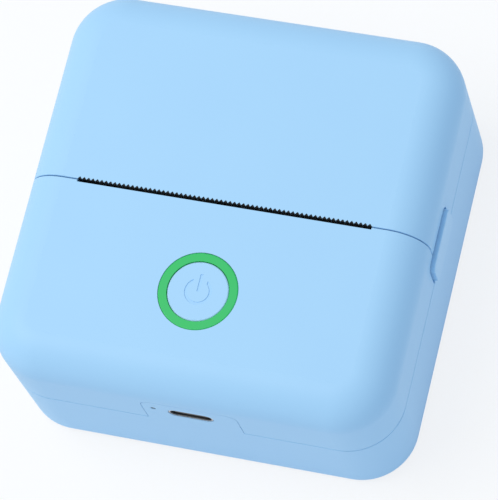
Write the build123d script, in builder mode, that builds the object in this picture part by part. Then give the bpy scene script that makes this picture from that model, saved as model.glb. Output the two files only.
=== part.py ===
from build123d import *
from math import acos, atan2, cos, degrees, hypot, pi, radians, sin, sqrt, tan
import os

os.makedirs("parts", exist_ok=True)

# Pocket-size thermal printer, in millimetres. The paper slot runs along X, the charging
# port faces -Y, and +Z is up. The origin lies under the middle of the case, on the table.

# Walls of the case
wall = 1.8
corner_radius = 11.0
top_round = 7.6
base_round = 2.0
edge_round = 0.2
lower_height = 20.3
parting_gap = 0.2
seam_y = -1.0
seam_gap = 0.2
lip_height = 1.3
lip_gap = 0.1
lip_setback = 4.0

# Rubber feet, and the case screws that they cover
foot_radius = 3.6
foot_proud = 0.7
foot_recess = 0.6
foot_gap = 0.1
screw_inset_x = 6.5
screw_inset_y = 8.75
screw_radius = 1.0
screw_head_radius = 1.9
screw_head_height = 1.3
screw_hole_gap = 0.1
thread_gap = 0.02
case_screw_length = 15.0
boss_radius = 2.8
lower_boss_height = 8.5

base_z = foot_proud
floor_z = base_z + wall
parting_z = base_z + lower_height
lower_rim_z = parting_z - parting_gap / 2
upper_rim_z = parting_z + parting_gap / 2
lower_boss_z = floor_z + lower_boss_height

# Running fits and the air between parts that move
running_gap = 0.05
moving_gap = 0.3

# Paper roll and the bay that holds it
roll_width = 57.0
roll_radius = 15.0
bay_gap = 0.6
bay_wall = 1.2
bay_floor_gap = 0.3
bay_side_gap = 0.8
side_plate = 1.2
bay_front_rise = 4.4
bay_rear_rise = 0.4
plate_slope_far = 9.0
plate_slope_near = 6.0
plate_shoulder_rise = 9.4
plate_rear_near = 10.5
plate_rear_far = 13.2
plate_rear_rise = 5.9
bay_radius = roll_radius + bay_gap
plate_in = roll_width / 2 + bay_side_gap
plate_out = plate_in + side_plate
roll_z = floor_z + bay_floor_gap + bay_wall + bay_radius

# Platen, carried by the lid above and in front of the roll
platen_radius = 3.6
platen_length = 57.8
platen_setback = 0.7
platen_roll_gap = 0.4
platen_lean = 39.26
shaft_radius = 1.5
shaft_end = 0.3
bush_radius = 2.6
bush_proud = 0.3
ear_thickness = 1.4
ear_radius = 4.0
ear_gap = 0.4
notch_gap = 0.6
plate_drop = 1.2
platen_y = seam_y + platen_setback + platen_radius
roll_to_platen = roll_radius + platen_radius + platen_roll_gap
roll_y = platen_y + roll_to_platen * cos(radians(platen_lean))
platen_z = roll_z + roll_to_platen * sin(radians(platen_lean))
ear_in = plate_out + ear_gap
ear_out = ear_in + ear_thickness
bush_in = ear_in - bush_proud
bush_out = ear_out + bush_proud

# Lid hinge: the lid's rear edge is rolled about the pin
hinge_radius = 4.0
hinge_pin_radius = 0.9
lug_width = 6.0
lug_spacing = 36.0
lug_gap = 0.35
lug_front = 0.85
lug_back = 1.5
lug_depth = 7.0
knuckle_width = 3.0
knuckle_radius = 2.2
pin_end_gap = 0.1
lid_swing_gap = 0.05
lug_radius = hinge_radius - parting_gap / 2
pin_reach = lug_width / 2 + moving_gap + knuckle_width - pin_end_gap
hinge_z = upper_rim_z + hinge_radius
roll_to_hinge = roll_radius + hinge_radius + lid_swing_gap
hinge_y = roll_y + sqrt(roll_to_hinge**2 - (hinge_z - roll_z) ** 2)

# Gears, left of the mechanism
gear_module = 0.5
pressure_angle = radians(20)
gear_backlash = 0.10
tip_height = 0.48
root_depth = 0.62
platen_teeth = 18
small_teeth = 16
large_teeth = 40
pinion_teeth = 12
gear_width = 1.4
axle_radius = 1.0
axle_head_radius = 1.9
axle_head = 0.6
gear_in = bush_out + moving_gap
gear_out = gear_in + gear_width
large_in = gear_out + moving_gap
large_out = large_in + gear_width
swing_y = platen_z - hinge_z
swing_z = hinge_y - platen_y
swing = hypot(swing_y, swing_z)
platen_to_drive = (platen_teeth + small_teeth) * gear_module / 2
drive_y = platen_y - platen_to_drive * swing_y / swing
drive_z = platen_z - platen_to_drive * swing_z / swing

# The case round the mechanism, with its origin in the middle
side_room = 1.3
lid_room = 2.18
half_width = large_out + moving_gap + axle_head + side_room + wall
half_depth = hinge_y + hinge_radius
body_width = 2 * half_width
body_depth = 2 * half_depth
top_z = platen_z + platen_radius + lid_room + wall
ceiling_z = top_z - wall
case_height = top_z - base_z
case_screw_x = half_width - screw_inset_x
case_screw_y = half_depth - screw_inset_y

# Stepper motor
motor_radius = 7.5
motor_length = 12.0
motor_angle = radians(230)
motor_lug_angle = radians(120)
motor_lug_spacing = 18.6
motor_lug_radius = 1.9
motor_flange = 0.8
motor_shaft_radius = 0.75
motor_screw_radius = 0.8
motor_screw_head = 1.5
motor_boss_radius = 3.0
motor_boss = 0.6
drive_to_motor = (large_teeth + pinion_teeth) * gear_module / 2
motor_y = drive_y + drive_to_motor * cos(motor_angle)
motor_z = drive_z + drive_to_motor * sin(motor_angle)
motor_end_x = -plate_in + motor_length

# Print head, hung between the side plates in front of the platen
paper_gap = 0.3
strip_thickness = 0.8
strip_height = 8.0
strip_above = 3.0
head_plate = 1.6
head_side_gap = 0.5
head_above = 3.2
head_below = 10.0
pivot_below = 9.0
pivot_radius = 0.95
pivot_end_gap = 0.1
guard_depth = 1.5
guard_gap = 0.3
guard_inset = 2.5
spring_wall = 1.2
spring_room = 5.3
spring_wall_rise = 1.4
spring_wall_lift = 0.8
head_spring_x = 15.0
head_spring_drop = 1.4
head_spring_radius = 1.8
head_spring_turns = 4
spring_wire = 0.25
strip_face_y = platen_y - platen_radius - paper_gap
strip_back_y = strip_face_y - strip_thickness
head_back_y = strip_back_y - head_plate
spring_wall_y = head_back_y - spring_room
head_top_z = platen_z + head_above
head_bottom_z = platen_z - head_below
pivot_y = strip_back_y - head_plate / 2
pivot_z = platen_z - pivot_below
strip_top_z = platen_z + strip_above
strip_bottom_z = strip_top_z - strip_height

# Power button, light ring and button board
ring_x = -0.5
ring_setback = 20.85
ring_radius = 7.8
ring_width = 1.7
ring_gap = 0.05
ring_flange = 1.0
ring_flange_width = 1.2
ring_skirt = 1.2
ring_skirt_radius = 8.8
cap_gap = 0.1
cap_sink = 0.1
cap_flange_radius = 7.2
cap_flange = 1.0
cap_travel = 0.6
mark_depth = 0.15
mark_radius = 2.4
mark_line = 0.55
mark_opening = 70.0
mark_bar = 3.5
ring_edge_round = 0.25
cap_edge_round = 0.3
stem_radius = 1.5
switch_size = 6.0
switch_height = 3.4
plunger_radius = 1.7
plunger_rise = 0.8
plunger_room = 1.6
button_board_drop = 8.6
board_thickness = 1.2
button_board_width = 27.0
button_board_depth = 20.5
button_board_shift = 1.2
ring_light_radius = 8.2
board_screw_length = 4.0
board_screw_head = 1.0
ring_y = -half_depth + ring_setback
button_board_y = ring_y - button_board_shift
cap_radius = ring_radius - ring_width - cap_gap
button_board_z = ceiling_z - button_board_drop
button_board_top = button_board_z + board_thickness

# Charging port in the front wall, and the tongue of the lower shell round it
port_x = 0.8
port_above_parting = 5.5
port_width = 8.94
port_height = 3.2
port_length = 7.3
port_wall = 0.3
port_back = 1.0
port_gap = 0.12
port_recess = 0.1
tongue_width = 6.7
tongue_thickness = 0.7
panel_half_width = 9.6
panel_rise = 9.6
panel_round = 2.2
panel_gap = 0.12
light_hole_offset = 7.4
light_hole_rise = 0.8
light_hole_radius = 0.55
light_setback = 1.6
light_size = 1.6
light_height = 0.6
light_pipe_recess = 0.1
port_z = parting_z + port_above_parting
light_x = port_x - light_hole_offset
light_z = port_z + light_hole_rise

# Battery, beside the motor
battery_width = 38.0
battery_depth = 30.0
battery_height = 10.0
battery_round = 2.0
battery_gap = 0.8
battery_front_gap = 3.45
battery_tape_thickness = 0.4
lead_radius = 0.5
lead_pitch = 1.6
lead_middle = 4.0
lead_bend = 1.3
lead_board_gap = 2.0
lead_plug_inset = 1.0
lead_plug_depth = 6.0
lead_plug_width = 4.0
lead_plug_height = 2.5
battery_x = motor_end_x + battery_gap + battery_width / 2
battery_y = -half_depth + wall + battery_front_gap + battery_depth / 2

# Main board, over the battery, and what stands on it
main_board_depth = 24.0
main_board_edge_gap = 0.35
post_radius = 2.2
post_inset = 3.0
post_x = battery_x + battery_width / 2 + battery_gap + post_radius
main_board_width = 2 * (post_x + post_inset)
main_board_top = port_z - port_height / 2
main_board_z = main_board_top - board_thickness
main_board_front = -half_depth + wall + main_board_edge_gap
main_board_back = main_board_front + main_board_depth
processor_size = 8.0
processor_height = 1.0
processor_x = -16.0
processor_setback = 12.0
radio_width = 11.0
radio_depth = 9.0
radio_height = 1.5
radio_x = 14.5
radio_setback = 5.5
driver_size = 4.0
driver_height = 0.8
driver_pitch = 8.0
driver_x = 3.0
driver_setback = 13.0
chip_bevel = 0.12

# Flat cables and their connectors
cable_thickness = 0.3
cable_bend = 1.0
cable_sag = 1.4
cable_reach = 2.0
cable_slot_gap = 0.1
connector_height = 2.0
connector_depth = 4.0
connector_rim = 0.8
head_cable_x = 0.0
head_cable_width = 20.5
motor_cable_inset = 0.5
motor_cable_width = 3.6
link_depth = 2.5
link_offset = 3.0
motor_cable_x = motor_end_x - motor_cable_inset - motor_cable_width

# Latch button on the right wall
latch_ahead = 2.8
latch_length = 13.0
latch_height = 7.4
latch_round = 1.5
latch_gap = 0.4
latch_proud = 0.9
latch_lift = 0.1
latch_flange = 1.3
latch_flange_rim = 1.1
latch_edge_round = 0.25
latch_nose_length = 2.4
nose_rise = 1.35
nose_height = 1.9
latch_rod_radius = 0.9
latch_rod_spacing = 5.2
latch_rod_entry = 0.5
rod_setback = 1.7
latch_guide_radius = 1.6
latch_guide_length = 2.2
latch_spring_radius = 1.3
latch_spring_turns = 4
latch_spring_wire = 0.2
latch_y = seam_y - latch_ahead + latch_length / 2
latch_z = upper_rim_z + latch_lift + latch_height / 2
nose_z = latch_z + nose_rise

# Tear edge and paper slot
slot_length = 58.9
tooth_count = 66
tooth_depth = 0.5
slot_relief = 0.45
tear_edge_thickness = 0.9
tear_edge_slope = 2.0

# Lid frame, which carries the platen under the lid
frame_screw_setback = 11.2
frame_screw_pitch = 12.0
lid_boss_reach = 2.3
lid_lug_radius = 2.4
lid_boss_radius = 2.2
lug_plate = 1.2
lid_boss_drop = 6.4
bridge_thickness = 1.2
bridge_drop = 0.8
bridge_setback = 4.9
bridge_depth = 5.8
catch_width = 1.4
catch_setback = 4.9
catch_depth = 4.4
catch_drop = 7.5
catch_gap = 0.2
catch_rim = 0.6
lid_boss_x = ear_out + lid_boss_reach
frame_screw_y = platen_y + frame_screw_setback
bridge_front = platen_y + bridge_setback
bridge_back = bridge_front + bridge_depth
catch_y = platen_y + catch_setback

# Inner frame fixings
inner_screw_reach = 2.8
inner_screw_setback = 1.2
inner_boss_radius = 2.5
inner_boss_height = 3.5
inner_tab = 2.0
inner_screw_length = 4.5
rear_ear_height = 7.0
rear_ear_web = 4.0
plate_chamfer = 2.5
frame_board_gap = 0.1
inner_screw_x = plate_out + inner_screw_reach
inner_screw_y = platen_y + inner_screw_setback
inner_boss_top = floor_z + inner_boss_height

# Sensors
paper_sensor_x = 8.0
sensor_width = 4.0
sensor_height = 1.6
lid_switch_length = 4.6
lid_switch_width = 2.4
lid_switch_height = 4.5
lid_switch_y = frame_screw_y + frame_screw_pitch / 2


def case_form(inset):
    # the outside of the whole case, drawn in by the same distance on every side
    with BuildPart() as form:
        with BuildSketch(Plane.XY.offset(base_z + inset)):
            RectangleRounded(body_width - 2 * inset, body_depth - 2 * inset, corner_radius - inset)
        extrude(amount=case_height - 2 * inset)
        fillet(form.faces().sort_by(Axis.Z)[-1].edges(), top_round - inset)
        fillet(form.faces().sort_by(Axis.Z)[0].edges(), max(base_round - inset, base_round / 3))
    return form.part


def rim_edges(shell, cut_y):
    # the edges round a shell's underside and round its cut at the seam
    underside = shell.faces().filter_by(Axis.Z).sort_by(Axis.Z)[0]
    cut = shell.faces().filter_by(Axis.Y).sort_by(lambda face: abs(face.center().Y - cut_y))[0]
    return ShapeList(set(underside.edges()) | set(cut.edges()))


def rod(start, direction, radius, length, bore=0):
    # a round bar or tube from a point along a direction
    with BuildPart() as made:
        with BuildSketch(Plane(start, z_dir=direction)):
            Circle(radius)
            if bore:
                Circle(bore, mode=Mode.SUBTRACT)
        extrude(amount=length)
    return made.part


def block(x, y, z):
    # a box between pairs of coordinates
    with BuildPart() as made:
        with Locations(((x[0] + x[1]) / 2, (y[0] + y[1]) / 2, (z[0] + z[1]) / 2)):
            Box(x[1] - x[0], y[1] - y[0], z[1] - z[0])
    return made.part


def screw(head, direction, radius, head_radius, head_height, length):
    # a pan-head screw: the head stands behind the point, the shank runs along the direction
    with BuildPart() as made:
        add(rod(head, tuple(-part for part in direction), head_radius, head_height))
        fillet(made.edges().filter_by(GeomType.CIRCLE).sort_by(
            lambda edge: Vector(*direction).dot(edge.center()))[0], head_height / 3)
        add(rod(head, direction, radius, length))
    return made.part


def coil(start, direction, radius, wire, length, turns):
    # a helical compression spring whose wire stays inside the given length
    seat = Vector(*start) + Vector(*direction) * wire
    rise = length - 2 * wire
    with BuildPart() as made:
        with BuildLine() as path:
            Helix(pitch=rise / turns, height=rise, radius=radius, center=seat, direction=direction)
        with BuildSketch(Plane(path.line @ 0, z_dir=path.line % 0)):
            Circle(wire)
        sweep()
    return made.part


def gear(teeth, centre, x_start, width, first_tooth, bore):
    # a spur gear with its axis along X; the first tooth points first_tooth degrees from +Y
    pitch_radius = teeth * gear_module / 2
    base_radius = pitch_radius * cos(pressure_angle)
    tip_radius = pitch_radius + tip_height
    root_radius = pitch_radius - root_depth
    flank_start = max(base_radius, root_radius)

    def half_angle(radius):
        at_radius = acos(min(1.0, base_radius / radius))
        involute = tan(pressure_angle) - pressure_angle - tan(at_radius) + at_radius
        return pi / (2 * teeth) - gear_backlash / (2 * pitch_radius) + involute

    def flank_point(radius, side, at=None):
        angle = side * half_angle(at or radius)
        return (radius * cos(angle), radius * sin(angle))

    middle = (flank_start + tip_radius) / 2
    foot = root_radius - gear_module / 5
    with BuildSketch() as tooth:
        with BuildLine():
            Line(flank_point(foot, -1, flank_start), flank_point(flank_start, -1))
            ThreePointArc(*(flank_point(r, -1) for r in (flank_start, middle, tip_radius)))
            ThreePointArc(flank_point(tip_radius, -1), (tip_radius, 0), flank_point(tip_radius, 1))
            ThreePointArc(*(flank_point(r, 1) for r in (tip_radius, middle, flank_start)))
            Line(flank_point(flank_start, 1), flank_point(foot, 1, flank_start))
            Line(flank_point(foot, 1, flank_start), flank_point(foot, -1, flank_start))
        make_face()
    with BuildPart() as made:
        with BuildSketch(Plane.YZ.offset(x_start)):
            with Locations(centre):
                Circle(root_radius)
                with PolarLocations(0, teeth, start_angle=first_tooth):
                    add(tooth.sketch_local)
                Circle(bore, mode=Mode.SUBTRACT)
        extrude(amount=width)
    return made.part


def ribbon(points, bend, x_from, x_to, thickness):
    # a flat cable bent in the YZ plane and as wide as the given stretch of X
    with BuildPart() as made:
        with BuildSketch(Plane.YZ.offset(x_from)):
            with BuildLine():
                FilletPolyline(*points, radius=bend)
            trace(line_width=thickness)
        extrude(amount=x_to - x_from)
    return made.part


outer_form = case_form(0)
inner_form = case_form(wall)
case_screw_spots = [(x, y) for x in (-case_screw_x, case_screw_x) for y in (-case_screw_y, case_screw_y)]
front_screw_spots = [spot for spot in case_screw_spots if spot[1] < 0]
rear_screw_spots = [spot for spot in case_screw_spots if spot[1] > 0]
post_spots = [
    (x, y)
    for x in (-post_x, post_x)
    for y in (main_board_front + post_inset, main_board_back - post_inset)
]
inner_screw_spots = [(-inner_screw_x, inner_screw_y), (inner_screw_x, inner_screw_y)]
lug_spots = [-lug_spacing / 2, lug_spacing / 2]


def port_panel(gap):
    # the front panel round the port; the gap widens it for the cut in the front cover
    with BuildPart() as made:
        with BuildSketch(Plane.XZ.offset(half_depth)):
            with Locations((port_x, parting_z + (panel_rise - lower_height / 3) / 2)):
                RectangleRounded(
                    2 * (panel_half_width + gap),
                    panel_rise + lower_height / 3 + 2 * gap,
                    panel_round + gap,
                )
        extrude(amount=-wall)
    return made.part


def lip_shape(outer_inset, inner_inset, height):
    # a rim that stands on the lower shell's inner edge, along the front cover only
    with BuildPart() as made:
        with BuildSketch(Plane.XY.offset(lower_rim_z)):
            RectangleRounded(
                body_width - 2 * outer_inset, body_depth - 2 * outer_inset, corner_radius - outer_inset
            )
            RectangleRounded(
                body_width - 2 * inner_inset,
                body_depth - 2 * inner_inset,
                corner_radius - inner_inset,
                mode=Mode.SUBTRACT,
            )
        extrude(amount=height)
        split(bisect_by=Plane.XZ.offset(-(seam_y - lip_setback)), keep=Keep.TOP)
    return made.part


def latch_opening(gap):
    # the hole in the right wall for the latch button, open down to the parting line
    with BuildPart() as made:
        with BuildSketch(Plane.YZ.offset(half_width - 2 * wall)):
            with Locations((latch_y, latch_z - latch_height / 2)):
                RectangleRounded(
                    latch_length + 2 * gap, 2 * (latch_height + gap), latch_round + gap
                )
        extrude(amount=3 * wall)
    return made.part


# Lower shell: floor and walls up to the parting line, posts, bosses and the hinge lugs
with BuildPart() as lower_shell:
    add(outer_form)
    split(bisect_by=Plane.XY.offset(lower_rim_z), keep=Keep.BOTTOM)
    fillet(lower_shell.faces().filter_by(Axis.Z).sort_by(Axis.Z)[-1].edges(), edge_round)
    add(inner_form, mode=Mode.SUBTRACT)
    add(lip_shape(wall / 2 + lip_gap, wall, lip_height))
    add(port_panel(0))
    for x, y in case_screw_spots:
        add(rod((x, y, floor_z), (0, 0, 1), boss_radius, lower_boss_height))
    for x, y in post_spots:
        add(rod((x, y, floor_z), (0, 0, 1), post_radius, main_board_z - floor_z))
    for x, y in inner_screw_spots:
        add(rod((x, y, floor_z), (0, 0, 1), inner_boss_radius, inner_boss_top - floor_z))
    # hinge lugs on the rear wall, each with a round head about the pin
    for lug_x in lug_spots:
        with BuildSketch(Plane.YZ.offset(lug_x - lug_width / 2)):
            with Locations((hinge_y, hinge_z)):
                Circle(lug_radius)
            # a neck inside the sweep of the lid's rear wall, and a foot against the shell
            with Locations((hinge_y - lug_front, parting_z - lug_depth)):
                Rectangle(lug_front + lug_back, hinge_z - parting_z + lug_depth, align=(Align.MIN, Align.MIN))
                Rectangle(
                    lug_front + hinge_radius - wall / 2,
                    lug_depth - parting_gap / 2,
                    align=(Align.MIN, Align.MIN),
                )
        extrude(amount=lug_width)
    with BuildSketch(Plane.YZ.offset(-half_width)):
        with Locations((hinge_y, hinge_z)):
            Circle(hinge_pin_radius)
    extrude(amount=body_width, mode=Mode.SUBTRACT)
    # holes from below: foot pocket, screw head and screw
    for x, y in case_screw_spots:
        add(rod((x, y, base_z), (0, 0, 1), foot_radius + foot_gap, foot_recess), mode=Mode.SUBTRACT)
        add(
            rod((x, y, base_z), (0, 0, 1), screw_head_radius + screw_hole_gap,
                foot_recess + screw_head_height + screw_hole_gap),
            mode=Mode.SUBTRACT,
        )
        add(
            rod((x, y, base_z), (0, 0, 1), screw_radius + screw_hole_gap, lower_boss_z - base_z),
            mode=Mode.SUBTRACT,
        )
    for x, y in post_spots:
        add(
            rod((x, y, main_board_z), (0, 0, -1), screw_radius + thread_gap, board_screw_length),
            mode=Mode.SUBTRACT,
        )
    for x, y in inner_screw_spots:
        add(
            rod((x, y, inner_boss_top), (0, 0, -1), screw_radius + thread_gap,
                inner_boss_top - floor_z),
            mode=Mode.SUBTRACT,
        )
    # port opening and the hole of the charge light
    with BuildSketch(Plane.XZ.offset(half_depth)):
        with Locations((port_x, port_z)):
            SlotOverall(port_width + 2 * port_gap, port_height + 2 * port_gap)
        with Locations((light_x, light_z)):
            Circle(light_hole_radius)
    extrude(amount=-2 * wall, mode=Mode.SUBTRACT)
lower_shell.part.label = "lower_shell"
export_step(lower_shell.part, "parts/lower_shell.step")

# Front cover: the upper shell in front of the seam
with BuildPart() as front_cover:
    add(outer_form)
    split(bisect_by=Plane.XY.offset(upper_rim_z), keep=Keep.TOP)
    split(bisect_by=Plane.XZ.offset(-(seam_y - seam_gap / 2)), keep=Keep.TOP)
    fillet(rim_edges(front_cover, seam_y - seam_gap / 2), edge_round)
    add(inner_form, mode=Mode.SUBTRACT)
    for x, y in front_screw_spots:
        add(rod((x, y, lower_boss_z), (0, 0, 1), boss_radius, ceiling_z - lower_boss_z))
    # posts of the button board
    button_post_spots = [
        (ring_x - button_board_width / 2 + post_inset, button_board_y - button_board_depth / 2 + post_inset),
        (ring_x + button_board_width / 2 - post_inset, button_board_y + button_board_depth / 2 - post_inset),
    ]
    for x, y in button_post_spots:
        add(rod((x, y, button_board_top), (0, 0, 1), post_radius, ceiling_z - button_board_top))
    add(lip_shape(wall / 2, wall + lip_gap, lip_height + lip_gap), mode=Mode.SUBTRACT)
    add(port_panel(panel_gap), mode=Mode.SUBTRACT)
    add(latch_opening(latch_gap), mode=Mode.SUBTRACT)
    # hole for the light ring
    add(
        rod((ring_x, ring_y, ceiling_z - wall), (0, 0, 1), ring_radius + ring_gap, 3 * wall),
        mode=Mode.SUBTRACT,
    )
    # the front edge of the paper slot
    add(
        block(
            (-slot_length / 2, slot_length / 2),
            (seam_y - seam_gap / 2 - slot_relief, seam_y),
            (ceiling_z - wall, top_z + wall),
        ),
        mode=Mode.SUBTRACT,
    )
    for x, y in front_screw_spots:
        add(
            rod((x, y, lower_boss_z), (0, 0, 1), screw_radius + thread_gap, case_screw_length),
            mode=Mode.SUBTRACT,
        )
    for x, y in button_post_spots:
        add(
            rod((x, y, button_board_top), (0, 0, 1), screw_radius + thread_gap, board_screw_length),
            mode=Mode.SUBTRACT,
        )
front_cover.part.label = "front_cover"
export_step(front_cover.part, "parts/front_cover.step")

# Lid: the upper shell behind the seam, with the rolled hinge edge and the tear edge
with BuildPart() as lid_roll:
    with BuildSketch(Plane.YZ.offset(-half_width)):
        with Locations((hinge_y, hinge_z)):
            Circle(hinge_radius)
            Circle(hinge_radius - wall, mode=Mode.SUBTRACT)
            Rectangle(hinge_radius, hinge_radius, align=(Align.MIN, Align.MAX), mode=Mode.INTERSECT)
    extrude(amount=body_width)
    add(outer_form, mode=Mode.INTERSECT)

with BuildPart() as lid:
    add(outer_form)
    split(bisect_by=Plane.XY.offset(upper_rim_z), keep=Keep.TOP)
    split(bisect_by=Plane.XZ.offset(-(seam_y + seam_gap / 2)), keep=Keep.BOTTOM)
    fillet(rim_edges(lid, seam_y + seam_gap / 2), edge_round)
    add(inner_form, mode=Mode.SUBTRACT)
    # take the square lower rear edge away and put the roll in its place
    with BuildSketch(Plane.YZ.offset(-half_width)):
        with Locations((hinge_y, hinge_z)):
            Rectangle(2 * hinge_radius, 2 * hinge_radius, align=(Align.MIN, Align.MAX))
            Circle(hinge_radius, mode=Mode.SUBTRACT)
    extrude(amount=body_width, mode=Mode.SUBTRACT)
    add(lid_roll.part)
    # knuckles beside each lug
    for lug_x in lug_spots:
        knuckle_starts = (
            lug_x - lug_width / 2 - moving_gap - knuckle_width,
            lug_x + lug_width / 2 + moving_gap,
        )
        for start in knuckle_starts:
            with BuildSketch(Plane.YZ.offset(start)):
                with Locations((hinge_y, hinge_z)):
                    Circle(knuckle_radius)
                    Rectangle(hinge_radius - wall / 2, knuckle_radius, align=(Align.MIN, Align.MIN))
            extrude(amount=knuckle_width)
    for lug_x in lug_spots:
        reach = lug_width / 2 + moving_gap + knuckle_width
        bore = rod((lug_x - reach, hinge_y, hinge_z), (1, 0, 0), hinge_pin_radius + running_gap, 2 * reach)
        add(bore, mode=Mode.SUBTRACT)
    # clear the way for the lugs
    for lug_x in lug_spots:
        with BuildSketch(Plane.YZ.offset(lug_x - lug_width / 2 - moving_gap)):
            with Locations((hinge_y, hinge_z)):
                Circle(lug_radius + lug_gap)
                Rectangle(
                    2 * (lug_radius + lug_gap), 2 * hinge_radius, align=(Align.CENTER, Align.MAX)
                )
        extrude(amount=lug_width + 2 * moving_gap, mode=Mode.SUBTRACT)
    # bosses for the lid frame
    lid_boss_z = ceiling_z - lid_boss_drop
    lid_boss_spots = [
        (x, y)
        for x in (-lid_boss_x, lid_boss_x)
        for y in (frame_screw_y, frame_screw_y + frame_screw_pitch)
    ]
    for x, y in lid_boss_spots:
        add(rod((x, y, lid_boss_z), (0, 0, 1), lid_boss_radius, lid_boss_drop))
    for x, y in lid_boss_spots:
        add(
            rod((x, y, lid_boss_z), (0, 0, 1), screw_radius + thread_gap, inner_screw_length),
            mode=Mode.SUBTRACT,
        )
    add(latch_opening(latch_gap), mode=Mode.SUBTRACT)
    # the underside of the tear edge slopes, so that the teeth are thin
    edge_y = seam_y + seam_gap / 2
    with BuildSketch(Plane.YZ.offset(-slot_length / 2)):
        with BuildLine():
            Polyline(
                (edge_y - wall, ceiling_z - wall),
                (edge_y - wall, top_z - tear_edge_thickness),
                (edge_y, top_z - tear_edge_thickness),
                (edge_y + tear_edge_slope, ceiling_z),
                (edge_y + tear_edge_slope, ceiling_z - wall),
                close=True,
            )
        make_face()
    extrude(amount=slot_length, mode=Mode.SUBTRACT)
    # the teeth
    pitch = slot_length / tooth_count
    flank = degrees(atan2(tooth_depth, pitch / 2))
    notches = [(-slot_length / 2 + pitch * (number + 0.5), edge_y) for number in range(tooth_count)]
    with BuildSketch(Plane.XY.offset(top_z + wall)):
        with Locations(*notches):
            Triangle(a=pitch, B=flank, C=flank, align=(Align.CENTER, Align.MIN))
    extrude(amount=-3 * wall, mode=Mode.SUBTRACT)
lid.part.label = "lid"
export_step(lid.part, "parts/lid.step")

# Hinge pins, pressed into the lugs
with BuildPart() as hinge_pins:
    for lug_x in lug_spots:
        add(rod((lug_x - pin_reach, hinge_y, hinge_z), (1, 0, 0), hinge_pin_radius, 2 * pin_reach))
hinge_pins.part.label = "hinge_pins"
export_step(hinge_pins.part, "parts/hinge_pins.step")

# Rubber feet
with BuildPart() as rubber_feet:
    for x, y in case_screw_spots:
        add(rod((x, y, 0), (0, 0, 1), foot_radius, foot_proud + foot_recess))
    fillet(rubber_feet.faces().group_by(Axis.Z)[0].edges(), foot_proud / 3)
rubber_feet.part.label = "rubber_feet"
export_step(rubber_feet.part, "parts/rubber_feet.step")

# Case screws, driven up from under the feet
with BuildPart() as case_screws:
    for x, y in case_screw_spots:
        seat = (x, y, base_z + foot_recess + screw_head_height + screw_hole_gap)
        add(screw(seat, (0, 0, 1), screw_radius, screw_head_radius, screw_head_height, case_screw_length))
case_screws.part.label = "case_screws"
export_step(case_screws.part, "parts/case_screws.step")

# Inner frame: two side plates, the trough of the paper bay between them, and the wall
# behind the head springs
bay_outer = bay_radius + bay_wall
plate_front = main_board_back + frame_board_gap
plate_low = floor_z + bay_floor_gap
plate_shoulder = motor_z + motor_lug_spacing / 2 * sin(motor_lug_angle) + motor_lug_radius
spring_wall_front = spring_wall_y - spring_wall
plate_outline = [
    (plate_front, plate_low + plate_chamfer),
    (plate_front, plate_shoulder),
    (spring_wall_front, plate_shoulder),
    (spring_wall_front, platen_z + spring_wall_rise),
    (head_back_y - moving_gap, platen_z + spring_wall_rise),
    (head_back_y - moving_gap, platen_z - plate_drop),
    (roll_y - plate_slope_far, platen_z - plate_drop),
    (roll_y - plate_slope_near, roll_z + plate_shoulder_rise),
    (roll_y + plate_rear_near, roll_z + plate_shoulder_rise),
    (roll_y + plate_rear_far, roll_z + plate_rear_rise),
    (roll_y + plate_rear_far, roll_z),
    (roll_y, roll_z - bay_outer),
    (plate_front + plate_chamfer, plate_low),
]
motor_lug_spots = [
    (
        motor_y + side * motor_lug_spacing / 2 * cos(motor_lug_angle),
        motor_z + side * motor_lug_spacing / 2 * sin(motor_lug_angle),
    )
    for side in (-1, 1)
]
rod_spots = [(latch_y - rod_setback + side * latch_rod_spacing / 2, latch_z) for side in (-1, 1)]

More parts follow.
